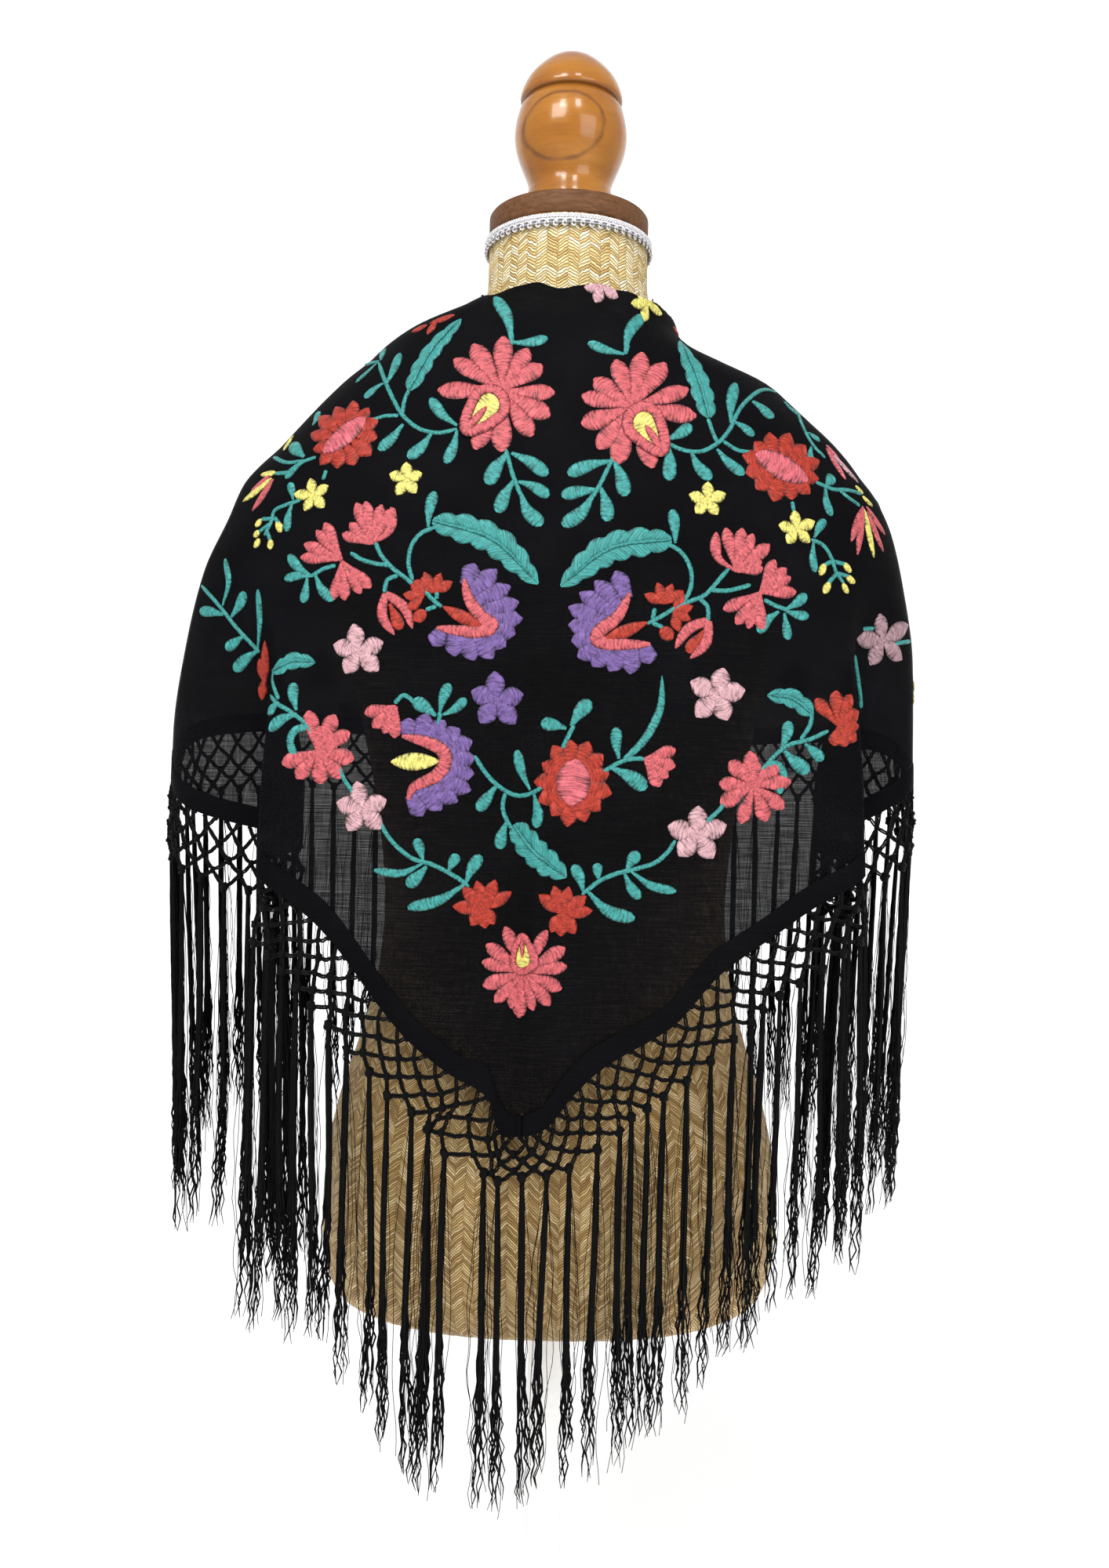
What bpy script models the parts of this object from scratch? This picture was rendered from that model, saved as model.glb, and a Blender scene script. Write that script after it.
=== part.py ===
"""An embroidered triangular shawl with a knotted fringe, worn over a limbless dress form on a stand.

Metres, +Z up. The origin is on the floor under the stand. The back of the shawl, with its point,
faces -Y; the form faces +Y, so +X is the form's right-hand side. Angles round the form are in
degrees from the middle of the back, and they are negative towards -X.
"""

import math

import bmesh
import bpy
from mathutils import Vector

# Driving dimensions
FLOOR_TO_FORM = 0.298
NECK_TOP = 1.0285
SEAM_GAP = 0.0003
HEM_PARTING = 0.0006
CLOTH_WALL = 0.0012
HEM_WALL = 0.0018
HEM_WIDTH = 0.0135
MOST_STEEP = 1.45
MOST_PARTING = 2.8
BODY_SECTION_POWER = 2.4
NECK_SECTION_POWER = 2.0

# The shawl is one triangle of cloth: its long edge lies round the neck and down both fronts.
TIP_ANGLE = -8.0
TIP_RADIUS = 0.125
CORNER_ANGLE = 163.0

# Knotted net and loose locks of the fringe
NET_DEPTH = 0.0335
NET_DEPTH_AT_TIP = 0.025
TIP_REACH = 0.035
NET_WALL = 0.0016
NET_PARTING = 0.0009
SHARP_BEND = math.radians(12)
LOCK_PITCH = 0.0158
LOCK_ROOT_WIDTH = 0.0042
LOCK_MAX_WIDTH = 0.0086
LOCK_MAX_SHARE_OF_PITCH = 0.60
LOCK_DEPTH_SHARE = 0.62
# Where the locks end: (angle from the middle of the back, height)
LOCK_ENDS = (
    (-163.0, 0.205),
    (-157.0, 0.255),
    (-151.0, 0.305),
    (-145.0, 0.355),
    (-138.0, 0.392),
    (-131.0, 0.402),
    (-105.0, 0.400),
    (-90.0, 0.378),
    (-75.0, 0.350),
    (-59.0, 0.314),
    (-50.0, 0.292),
    (-45.0, 0.262),
    (-40.0, 0.236),
    (-32.0, 0.222),
    (-23.0, 0.205),
    (-8.0, 0.212),
    (10.0, 0.224),
    (21.0, 0.240),
    (34.0, 0.265),
    (41.0, 0.286),
    (52.0, 0.318),
    (60.0, 0.346),
    (72.0, 0.362),
    (90.0, 0.378),
    (105.0, 0.398),
    (131.0, 0.400),
    (138.0, 0.390),
    (145.0, 0.352),
    (151.0, 0.302),
    (157.0, 0.252),
    (163.0, 0.203),
)
LOCK_END_SPREAD = 0.005
LOCK_LEAN_INWARDS = 0.045
# (share of the lock's length, share of its full width)
LOCK_SECTIONS = ((0.12, 0.60), (0.50, 0.90), (0.90, 1.00), (1.00, 0.55))

# The form's horizontal sections: (height, half width, depth behind the axis, depth in front of it)
FORM_SECTIONS = (
    (0.2980, 0.1360, 0.0960, 0.0860),
    (0.3040, 0.1450, 0.1045, 0.0945),
    (0.3200, 0.1525, 0.1115, 0.1010),
    (0.3500, 0.1560, 0.1150, 0.1045),
    (0.3900, 0.1545, 0.1140, 0.1045),
    (0.4300, 0.1470, 0.1080, 0.1025),
    (0.4750, 0.1330, 0.0980, 0.0985),
    (0.5200, 0.1215, 0.0900, 0.0940),
    (0.5650, 0.1180, 0.0870, 0.0920),
    (0.6200, 0.1225, 0.0885, 0.0985),
    (0.6800, 0.1340, 0.0930, 0.1160),
    (0.7300, 0.1450, 0.0975, 0.1290),
    (0.7700, 0.1540, 0.1010, 0.1270),
    (0.8100, 0.1680, 0.1030, 0.1140),
    (0.8400, 0.1840, 0.1030, 0.1020),
    (0.8620, 0.1925, 0.1010, 0.0930),
    (0.8780, 0.1888, 0.0970, 0.0860),
    (0.8930, 0.1740, 0.0915, 0.0795),
    (0.9080, 0.1550, 0.0855, 0.0735),
    (0.9230, 0.1335, 0.0790, 0.0662),
    (0.9360, 0.1080, 0.0750, 0.0650),
    (0.9480, 0.0855, 0.0700, 0.0615),
    (0.9600, 0.0710, 0.0650, 0.0590),
    (0.9720, 0.0640, 0.0600, 0.0570),
    (0.9840, 0.0575, 0.0565, 0.0560),
    (0.9980, 0.0556, 0.0556, 0.0554),
    (NECK_TOP, 0.0553, 0.0553, 0.0553),
)
FORM_SEGMENTS = 40

# The cloth's outer face: (height, half width to -X, half width to +X, depth behind, depth in front)
CLOTH_SECTIONS = (
    (1.0000, 0.0583, 0.0582, 0.0690, 0.0595),
    (0.9900, 0.0590, 0.0586, 0.0725, 0.0603),
    (0.9820, 0.0594, 0.0598, 0.0755, 0.0615),
    (0.9760, 0.0660, 0.0645, 0.0768, 0.0630),
    (0.9700, 0.0810, 0.0755, 0.0780, 0.0645),
    (0.9580, 0.1120, 0.0795, 0.0795, 0.0675),
    (0.9460, 0.1285, 0.0925, 0.0815, 0.0700),
    (0.9340, 0.1400, 0.1185, 0.0845, 0.0725),
    (0.9220, 0.1540, 0.1450, 0.0880, 0.0755),
    (0.9096, 0.1660, 0.1590, 0.0925, 0.0800),
    (0.8975, 0.1770, 0.1722, 0.0970, 0.0850),
    (0.8850, 0.1880, 0.1860, 0.1010, 0.0905),
    (0.8730, 0.1985, 0.1970, 0.1040, 0.0955),
    (0.8610, 0.2115, 0.2060, 0.1065, 0.1005),
    (0.8490, 0.2215, 0.2155, 0.1085, 0.1055),
    (0.8250, 0.2315, 0.2265, 0.1115, 0.1150),
    (0.7890, 0.2470, 0.2350, 0.1145, 0.1290),
    (0.7400, 0.2575, 0.2427, 0.1170, 0.1350),
    (0.6800, 0.2652, 0.2450, 0.1190, 0.1365),
    (0.6200, 0.2668, 0.2460, 0.1205, 0.1375),
    (0.5500, 0.2670, 0.2470, 0.1225, 0.1390),
    (0.4000, 0.2670, 0.2470, 0.1270, 0.1420),
)

# Soft folds that hang from the shoulders: (angle, half width in degrees, how far the cloth stands out)
FOLDS = (
    (-59.0, 4.6, 0.0160),
    (-69.5, 5.2, -0.0520),
    (-107.0, 5.0, -0.0260),
    (-118.0, 4.5, 0.0070),
    (-131.0, 5.0, -0.0170),
    (-145.0, 5.0, 0.0060),
    (62.0, 4.6, 0.0170),
    (72.5, 5.2, -0.0480),
    (106.0, 5.0, -0.0240),
    (119.0, 4.8, 0.0080),
    (133.0, 5.0, -0.0150),
    (147.0, 5.0, 0.0055),
    (-27.0, 6.0, 0.0022),
    (-13.0, 3.5, -0.0028),
    (-5.0, 3.0, 0.0040),
    (9.0, 5.0, -0.0020),
    (33.0, 6.0, 0.0022),
)
FOLDS_BEGIN = 0.815
FOLDS_FULL = 0.640

# The long edge where it stands round the neck: (share of the way from back to front edge, height)
NECK_EDGE = (
    (0.00, 0.9690),
    (0.12, 0.9735),
    (0.30, 0.9700),
    (0.48, 0.9790),
    (0.64, 0.9890),
    (0.80, 0.9860),
    (0.92, 0.9700),
    (1.00, 0.9450),
)

# The long edge where it hangs down the front: (height, angle)
FRONT_EDGE = (
    (0.430, 163.0),
    (0.600, 162.0),
    (0.720, 160.5),
    (0.800, 158.0),
    (0.860, 153.0),
    (0.910, 146.0),
    (0.950, 138.0),
    (0.990, 132.0),
)

# Lower edge of the hem from the point up to the side and down to the front corner: (angle, height)
HEM_LEFT = (
    (-163.0, 0.468),
    (-157.0, 0.520),
    (-151.0, 0.573),
    (-145.0, 0.624),
    (-138.0, 0.664),
    (-131.0, 0.683),
    (-118.0, 0.688),
    (-105.0, 0.684),
    (-90.0, 0.664),
    (-80.0, 0.636),
    (-69.0, 0.608),
    (-59.3, 0.587),
    (-50.4, 0.5465),
    (-42.0, 0.5094),
    (-36.0, 0.4897),
    (-26.5, 0.4714),
    (-17.4, 0.4574),
    (-13.8, 0.4330),
    (TIP_ANGLE, 0.4345),
)
HEM_RIGHT = (
    (TIP_ANGLE, 0.4345),
    (-1.8, 0.4390),
    (5.4, 0.4574),
    (13.8, 0.4757),
    (30.4, 0.5017),
    (41.2, 0.5340),
    (53.4, 0.5633),
    (62.4, 0.5940),
    (72.0, 0.6120),
    (82.0, 0.6500),
    (90.0, 0.6610),
    (105.0, 0.6830),
    (118.0, 0.6860),
    (131.0, 0.6810),
    (138.0, 0.6620),
    (145.0, 0.6220),
    (151.0, 0.5710),
    (157.0, 0.5180),
    (163.0, 0.4650),
)

PANEL_ROWS = 12
ROW_CROWDING = 1.3
COARSE_STEP = 5.5
FINE_STEP = 2.9

# Turned pieces: (radius, height) from the bottom up
NECK_PLATE = ((0.0530, 1.0288), (0.0555, 1.0305), (0.0555, 1.0428), (0.0543, 1.0443))
FINIAL = (
    (0.0318, 1.0446),
    (0.0323, 1.0490),
    (0.0312, 1.0550),
    (0.0296, 1.0620),
    (0.0290, 1.0662),
    (0.0298, 1.0708),
    (0.0320, 1.0765),
    (0.0358, 1.0856),
    (0.0379, 1.0920),
    (0.0390, 1.0980),
    (0.0393, 1.1025),
    (0.0389, 1.1085),
    (0.0378, 1.1145),
    (0.0360, 1.1208),
    (0.0336, 1.1243),
    (0.0330, 1.1256),
    (0.0352, 1.1268),
    (0.0357, 1.1290),
    (0.0344, 1.1345),
    (0.0308, 1.1417),
    (0.0242, 1.1494),
    (0.0166, 1.1556),
    (0.0085, 1.1590),
    (0.0030, 1.1600),
)
BRAID = (
    (0.0558, 1.0180),
    (0.0573, 1.0183),
    (0.0580, 1.0205),
    (0.0571, 1.0230),
    (0.0579, 1.0252),
    (0.0571, 1.0275),
    (0.0558, 1.0278),
)
POLE_RADIUS = 0.0125
BASE = ((0.1350, 0.0), (0.1350, 0.0120), (0.1300, 0.0180), (0.0300, 0.0220))
BASE_TOP = 0.0220
TURNED_SEGMENTS = 28
BASE_SEGMENTS = 40


def clear_scene():
    for obj in list(bpy.data.objects):
        bpy.data.objects.remove(obj, do_unlink=True)


def material(name, colour, roughness, metallic=0.0):
    made = bpy.data.materials.new(name)
    made.use_nodes = True
    shader = made.node_tree.nodes["Principled BSDF"]
    shader.inputs["Base Color"].default_value = (*colour, 1.0)
    shader.inputs["Roughness"].default_value = roughness
    shader.inputs["Metallic"].default_value = metallic
    return made


def finish_object(name, work, made_of, faces_out=True):
    """Turn a bmesh into a named object, smooth but for its sharp edges."""
    if faces_out:
        bmesh.ops.recalc_face_normals(work, faces=work.faces)
    mesh = bpy.data.meshes.new(name)
    work.to_mesh(mesh)
    work.free()
    mesh.shade_smooth()
    mesh.set_sharp_from_angle(angle=math.radians(40))
    mesh.materials.append(made_of)
    obj = bpy.data.objects.new(name, mesh)
    bpy.context.scene.collection.objects.link(obj)
    return obj


def skin(points, faces):
    """A bmesh of points and of the faces between them."""
    work = bmesh.new()
    verts = [work.verts.new(point) for point in points]
    for face in faces:
        work.faces.new([verts[k] for k in face])
    return work


def along(table, x, column=1):
    """A smooth value from a table whose first column rises or falls: a cubic with no overshoot."""
    rows = table if table[0][0] < table[-1][0] else table[::-1]
    xs = [row[0] for row in rows]
    ys = [row[column] for row in rows]
    if x <= xs[0]:
        return ys[0]
    if x >= xs[-1]:
        return ys[-1]
    i = max(k for k in range(len(xs) - 1) if xs[k] <= x)
    slopes = [(ys[k + 1] - ys[k]) / (xs[k + 1] - xs[k]) for k in range(len(xs) - 1)]

    def tangent(k):
        if k in (0, len(xs) - 1):
            return slopes[0] if k == 0 else slopes[-1]
        a, b = slopes[k - 1], slopes[k]
        return 0.0 if a * b <= 0 else 2 * a * b / (a + b)

    width = xs[i + 1] - xs[i]
    t = (x - xs[i]) / width
    return (
        ys[i] * (1 + 2 * t) * (1 - t) ** 2
        + width * tangent(i) * t * (1 - t) ** 2
        + ys[i + 1] * t * t * (3 - 2 * t)
        + width * tangent(i + 1) * t * t * (t - 1)
    )


def smooth_step(low, high, x):
    t = min(1.0, max(0.0, (x - low) / (high - low)))
    return t * t * (3 - 2 * t)


def section_radius(angle, half_width, depth, height):
    """Radius of a section at an angle from the middle of the back: a rounded oblong at the body
    and an ellipse at the neck."""
    power = BODY_SECTION_POWER
    power += (NECK_SECTION_POWER - BODY_SECTION_POWER) * smooth_step(0.90, 0.985, height)
    side = abs(math.sin(math.radians(angle))) / half_width
    face = abs(math.cos(math.radians(angle))) / depth
    return (side**power + face**power) ** (-1 / power)


def on_plan(angle, radius, height):
    turn = math.radians(angle)
    return Vector((radius * math.sin(turn), -radius * math.cos(turn), height))


def form_point(angle, height):
    back_or_front = 2 if math.cos(math.radians(angle)) > 0 else 3
    depth = along(FORM_SECTIONS, height, back_or_front)
    radius = section_radius(angle, along(FORM_SECTIONS, height), depth, height)
    return on_plan(angle, radius, height)


def cloth_point(angle, height):
    """The draped cloth's outer face, with its hanging folds."""
    half_width = along(CLOTH_SECTIONS, height, 1 if angle < 0 else 2)
    behind = math.cos(math.radians(angle)) > 0
    depth = along(CLOTH_SECTIONS, height, 3 if behind else 4)
    radius = section_radius(angle, half_width, depth, height)
    hang = smooth_step(FOLDS_BEGIN, FOLDS_FULL, height)
    for middle, half, out in FOLDS:
        radius += hang * out * math.exp(-(((angle - middle) / half) ** 2))
    return on_plan(angle, radius, height)


def cloth_at(share, height):
    """share runs from -1 at the front edge on -X, through 0 at the back, to 1 on +X."""
    return cloth_point(share * along(FRONT_EDGE, height), height)


def hem_height(share):
    """Height of the hem's lower edge. Where it meets the cloth's own angle is found by steps."""
    height = 0.6
    for _ in range(6):
        angle = share * along(FRONT_EDGE, height)
        height = along(HEM_LEFT if angle < TIP_ANGLE else HEM_RIGHT, angle)
    return height


def steepness(share):
    """How far to go down for each unit square to the hem's slope."""
    step = 0.012
    low, high = max(-1.0, share - step), min(1.0, share + step)
    a, b = cloth_at(low, hem_height(low)), cloth_at(high, hem_height(high))
    return math.hypot(1.0, (b.z - a.z) / math.hypot(b.x - a.x, b.y - a.y))


def seam_height(share):
    """Height of the hem's upper edge, so that the hem is as wide across its slope everywhere."""
    return hem_height(share) + HEM_WIDTH * min(MOST_STEEP, steepness(share))


def column_shares():
    """Columns of the cloth, closer together where it folds."""
    angles = {angle for angle, _ in HEM_LEFT + HEM_RIGHT if abs(angle - TIP_ANGLE) < 16}
    for direction in (-1, 1):
        angle = TIP_ANGLE + direction * 15.0
        while abs(angle) < CORNER_ANGLE - 1.5:
            near = any(
                abs(angle - middle) < 2.2 * half for middle, half, out in FOLDS if abs(out) > 0.01
            )
            angle += direction * (FINE_STEP if near else COARSE_STEP)
            angles.add(angle)
        angles.add(direction * CORNER_ANGLE)
    kept = sorted(a for a in angles if abs(a) <= CORNER_ANGLE)
    shares = []
    for angle in kept:
        if not shares or angle / CORNER_ANGLE - shares[-1] > 0.008:
            shares.append(angle / CORNER_ANGLE)
    shares[-1] = 1.0
    return shares


def wall(name, rows, thickness, made_of):
    """A sheet through rows of points on the cloth's outer face, thickened inwards."""
    width = len(rows[0])
    points = [point for row in rows for point in row]
    faces = []
    for i in range(len(rows) - 1):
        for j in range(width - 1):
            a = i * width + j
            faces.append((a, a + width, a + width + 1, a + 1))
    obj = finish_object(name, skin(points, faces), made_of, faces_out=False)
    thick = obj.modifiers.new("cloth_thickness", "SOLIDIFY")
    thick.thickness = thickness
    thick.offset = -1.0
    thick.use_even_offset = True
    return obj


def turned(name, profile, segments, made_of, hollow=False):
    """A profile of (radius, height) spun round the upright axis, with flat ends or as a ring."""
    work = bmesh.new()
    verts = [work.verts.new((radius, 0.0, height)) for radius, height in profile]
    edges = [work.edges.new(pair) for pair in zip(verts, verts[1:])]
    if hollow:
        edges.append(work.edges.new((verts[-1], verts[0])))
    bmesh.ops.spin(
        work,
        geom=verts + edges,
        cent=(0, 0, 0),
        axis=(0, 0, 1),
        angle=math.tau,
        steps=segments,
        use_merge=True,
    )
    bmesh.ops.holes_fill(work, edges=[edge for edge in work.edges if edge.is_boundary], sides=0)
    return finish_object(name, work, made_of)


def build_form(made_of):
    points, faces = [], []
    for height, *_ in FORM_SECTIONS:
        for k in range(FORM_SEGMENTS):
            points.append(form_point(360 * k / FORM_SEGMENTS, height))
    for i in range(len(FORM_SECTIONS) - 1):
        for k in range(FORM_SEGMENTS):
            n = (k + 1) % FORM_SEGMENTS
            row, above = i * FORM_SEGMENTS, (i + 1) * FORM_SEGMENTS
            faces.append((row + k, row + n, above + n, above + k))
    top = (len(FORM_SECTIONS) - 1) * FORM_SEGMENTS
    faces.append(tuple(range(FORM_SEGMENTS)))
    faces.append(tuple(top + k for k in range(FORM_SEGMENTS)))
    return finish_object("form_torso", skin(points, faces), made_of)


def build_panel(made_of):
    shares = column_shares()
    rows = []
    for i in range(PANEL_ROWS + 1):
        way = (i / PANEL_ROWS) ** ROW_CROWDING
        row = []
        for share in shares:
            top = along(NECK_EDGE, abs(share))
            height = top + (seam_height(share) - top) * way
            row.append(cloth_at(share, height))
        rows.append(row)
    return wall("shawl_cloth", rows, CLOTH_WALL, made_of)


def build_hem(name, shares, made_of):
    upper, lower = [], []
    for share in shares:
        seam, edge = seam_height(share), hem_height(share)
        gap = HEM_PARTING * min(MOST_PARTING, steepness(share))
        upper.append(cloth_at(share, seam - gap))
        lower.append(cloth_at(share, edge))
    return wall(name, [upper, lower], HEM_WALL, made_of)


def hem_line(shares):
    """The hem's lower edge as (length so far, point), from the shawl's point up to a front corner."""
    line, length = [], 0.0
    for share in shares:
        point = cloth_at(share, hem_height(share))
        if line:
            length += (point - line[-1][1]).length
        line.append((length, point))
    return line


def at_length(line, length):
    """The point of the hem at a length along it."""
    length = min(max(length, 0.0), line[-1][0])
    low, high = 0, len(line) - 1
    while high - low > 1:
        middle = (low + high) // 2
        if line[middle][0] <= length:
            low = middle
        else:
            high = middle
    a, b = line[low], line[high]
    t = (length - a[0]) / max(b[0] - a[0], 1e-9)
    return a[1].lerp(b[1], t)


def bends(line):
    """Lengths at which the hem's edge turns sharply up or down."""
    found = []
    for before, here, after in zip(line, line[1:], line[2:]):
        slopes = []
        for (start, a), (end, b) in ((before, here), (here, after)):
            slopes.append(math.asin((b.z - a.z) / (end - start)))
        if abs(slopes[1] - slopes[0]) > SHARP_BEND:
            found.append(here[0])
    return found


def near_any(length, columns):
    """Whether a length lies on the root of a lock, or too near it for a column of its own."""
    return any(abs(length - (start + LOCK_ROOT_WIDTH / 2)) < LOCK_ROOT_WIDTH * 0.6
               for start, lock in columns if lock is not None)


def net_frame(line, length, side):
    """Where the net leaves the hem, how far it hangs for each unit of its depth, and its facing."""
    reach = 0.010
    along_hem = at_length(line, length + reach) - at_length(line, length - reach)
    run = math.hypot(along_hem.x, along_hem.y)
    steep = min(MOST_STEEP, math.hypot(1.0, along_hem.z / run))
    outward = Vector((along_hem.y, -along_hem.x, 0.0)).normalized() * side
    return at_length(line, length), steep, outward


def build_fringe(name, shares, side, made_of):
    """The net's band, parted from the hem's edge, with every lock fused into its lower rim.
    Each lock grows out of four corners of the rim, so the band and the locks are one body."""
    line = hem_line(shares)
    locks = int(line[-1][0] / LOCK_PITCH)
    pitch = line[-1][0] / locks
    points, faces = [], []

    def ring_at(length):
        """Four corners of the band at a length along the hem: outer and inner, top and bottom."""
        point, steep, outward = net_frame(line, length, side)
        inset = outward * (NET_WALL / 2)
        top = point - outward * (CLOTH_WALL / 2) - Vector((0, 0, NET_PARTING * steep))
        depth = NET_DEPTH_AT_TIP + (NET_DEPTH - NET_DEPTH_AT_TIP) * smooth_step(0, TIP_REACH, length)
        bottom = top - Vector((0, 0, depth * steep))
        start = len(points)
        points.extend((top + inset, bottom + inset, bottom - inset, top - inset))
        return start, outward

    columns = []
    for k in range(locks):
        middle = (k + 0.5) * pitch
        columns.append((middle - LOCK_ROOT_WIDTH / 2, k))
        columns.append((middle + LOCK_ROOT_WIDTH / 2, None))
    columns[0] = (0.0004, 0)
    columns += [(length, None) for length in bends(line) if not near_any(length, columns)]
    columns.sort(key=lambda column: column[0])
    rings = [(*ring_at(length), lock) for length, lock in columns]
    for (a, _, lock), (b, _, _) in zip(rings, rings[1:]):
        faces.append((a, b, b + 1, a + 1))
        faces.append((a + 3, a + 2, b + 2, b + 3))
        faces.append((a, a + 3, b + 3, b))
        if lock is None:
            faces.append((a + 1, b + 1, b + 2, a + 2))
    first, last = rings[0][0], rings[-1][0]
    faces.append((first, first + 1, first + 2, first + 3))
    faces.append((last, last + 3, last + 2, last + 1))

    roots = [(a, b) for a, b in zip(rings, rings[1:]) if a[2] is not None]
    for k, (a, b) in enumerate(roots):
        corners = [a[0] + 1, b[0] + 1, b[0] + 2, a[0] + 2]
        root = sum((points[c] for c in corners), Vector()) / 4
        outward = (a[1] + b[1]).normalized()
        across = Vector((-outward.y, outward.x, 0.0))
        near = at_length(line, (k + 1) * pitch) - at_length(line, k * pitch)
        spacing = math.hypot(near.x, near.y)
        full = min(LOCK_MAX_WIDTH, LOCK_MAX_SHARE_OF_PITCH * spacing)
        end = along(LOCK_ENDS, math.degrees(math.atan2(root.x, -root.y)))
        length = root.z - end + LOCK_END_SPREAD * math.sin(2.4 * k + side)
        lean = Vector((outward.x, 0.0, 0.0)) * (LOCK_LEAN_INWARDS * length)
        sway = across * (0.0012 * math.sin(1.7 * k + 2 * side))
        order = corners
        if (points[b[0] + 1] - points[a[0] + 1]).dot(across) < 0:
            across = -across
        for share, width in LOCK_SECTIONS:
            middle = root + (sway - lean) * share - Vector((0, 0, length * share))
            half_wide = across * (full * width / 2)
            half_deep = outward * (full * width * LOCK_DEPTH_SHARE / 2)
            start = len(points)
            points.extend(
                (
                    middle - half_wide + half_deep,
                    middle + half_wide + half_deep,
                    middle + half_wide - half_deep,
                    middle - half_wide - half_deep,
                )
            )
            below = [start, start + 1, start + 2, start + 3]
            for m in range(4):
                n = (m + 1) % 4
                faces.append((order[m], order[n], below[n], below[m]))
            order = below
        faces.append(tuple(order))
    return finish_object(name, skin(points, faces), made_of)


def build_shawl():
    black_cloth = material("black_voile", (0.012, 0.012, 0.014), 0.62)
    black_hem = material("black_hem", (0.010, 0.010, 0.012), 0.66)
    black_fringe = material("black_rayon", (0.006, 0.006, 0.007), 0.45)
    build_panel(black_cloth)
    tip = TIP_ANGLE / CORNER_ANGLE
    parting = HEM_PARTING / TIP_RADIUS / math.radians(CORNER_ANGLE)
    shares = column_shares()
    left = [s for s in shares if s < tip - 0.004] + [tip - parting]
    right = [tip + parting] + [s for s in shares if s > tip + 0.004]
    build_hem("hem_left", left, black_hem)
    build_hem("hem_right", right, black_hem)
    build_fringe("fringe_left", left[::-1], -1, black_fringe)
    build_fringe("fringe_right", right, 1, black_fringe)


def build_dress_form():
    straw = material("straw_braid", (0.62, 0.45, 0.22), 0.70)
    brown = material("brown_wood", (0.16, 0.085, 0.05), 0.55)
    maple = material("varnished_wood", (0.72, 0.36, 0.11), 0.28)
    white = material("white_gimp", (0.86, 0.85, 0.86), 0.60)
    pale = material("pale_painted_steel", (0.82, 0.82, 0.80), 0.40, 0.1)
    build_form(straw)
    turned("neck_braid", BRAID, FORM_SEGMENTS, white, hollow=True)
    turned("neck_plate", NECK_PLATE, BASE_SEGMENTS, brown)
    turned("finial", FINIAL, TURNED_SEGMENTS, maple)
    pole = ((POLE_RADIUS, BASE_TOP + SEAM_GAP), (POLE_RADIUS, FLOOR_TO_FORM - SEAM_GAP))
    turned("stand_pole", pole, TURNED_SEGMENTS, pale)
    turned("stand_base", BASE, BASE_SEGMENTS, pale)


clear_scene()
build_dress_form()
build_shawl()
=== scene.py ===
"""The looks of an embroidered triangular shawl with a knotted fringe, on a limbless dress form.

Metres, +Z up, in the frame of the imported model. The back of the shawl faces -Y, where the camera is.
Angles round the form are in degrees from the middle of the back, and they are negative towards -X.
"""

import math
import random

import bmesh
import bpy
from mathutils import Euler, Matrix, Vector
from mathutils.bvhtree import BVHTree


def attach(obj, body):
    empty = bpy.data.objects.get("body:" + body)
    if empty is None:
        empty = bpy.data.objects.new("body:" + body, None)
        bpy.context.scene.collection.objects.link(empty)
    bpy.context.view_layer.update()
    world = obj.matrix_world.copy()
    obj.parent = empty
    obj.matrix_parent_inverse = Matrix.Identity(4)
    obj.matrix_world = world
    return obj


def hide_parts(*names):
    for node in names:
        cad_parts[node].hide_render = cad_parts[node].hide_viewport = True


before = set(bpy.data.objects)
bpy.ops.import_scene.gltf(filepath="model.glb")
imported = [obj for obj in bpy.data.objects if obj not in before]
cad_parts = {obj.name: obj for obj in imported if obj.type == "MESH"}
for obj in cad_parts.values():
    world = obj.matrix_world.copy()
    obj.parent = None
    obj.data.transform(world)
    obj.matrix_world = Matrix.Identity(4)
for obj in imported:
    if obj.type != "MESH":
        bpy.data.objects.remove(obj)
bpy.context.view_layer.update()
chance = random.Random(7)

# Sizes that the solids have too
NECK_TOP = 1.0285
BODY_SECTION_POWER = 2.4
NECK_SECTION_POWER = 2.0
HEM_WIDTH = 0.0135
MOST_STEEP = 1.45
TIP_ANGLE = -8.0
CORNER_ANGLE = 163.0
NET_DEPTH = 0.0335
CLOTH_WALL = 0.0008
HEM_WALL = 0.0016

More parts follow.
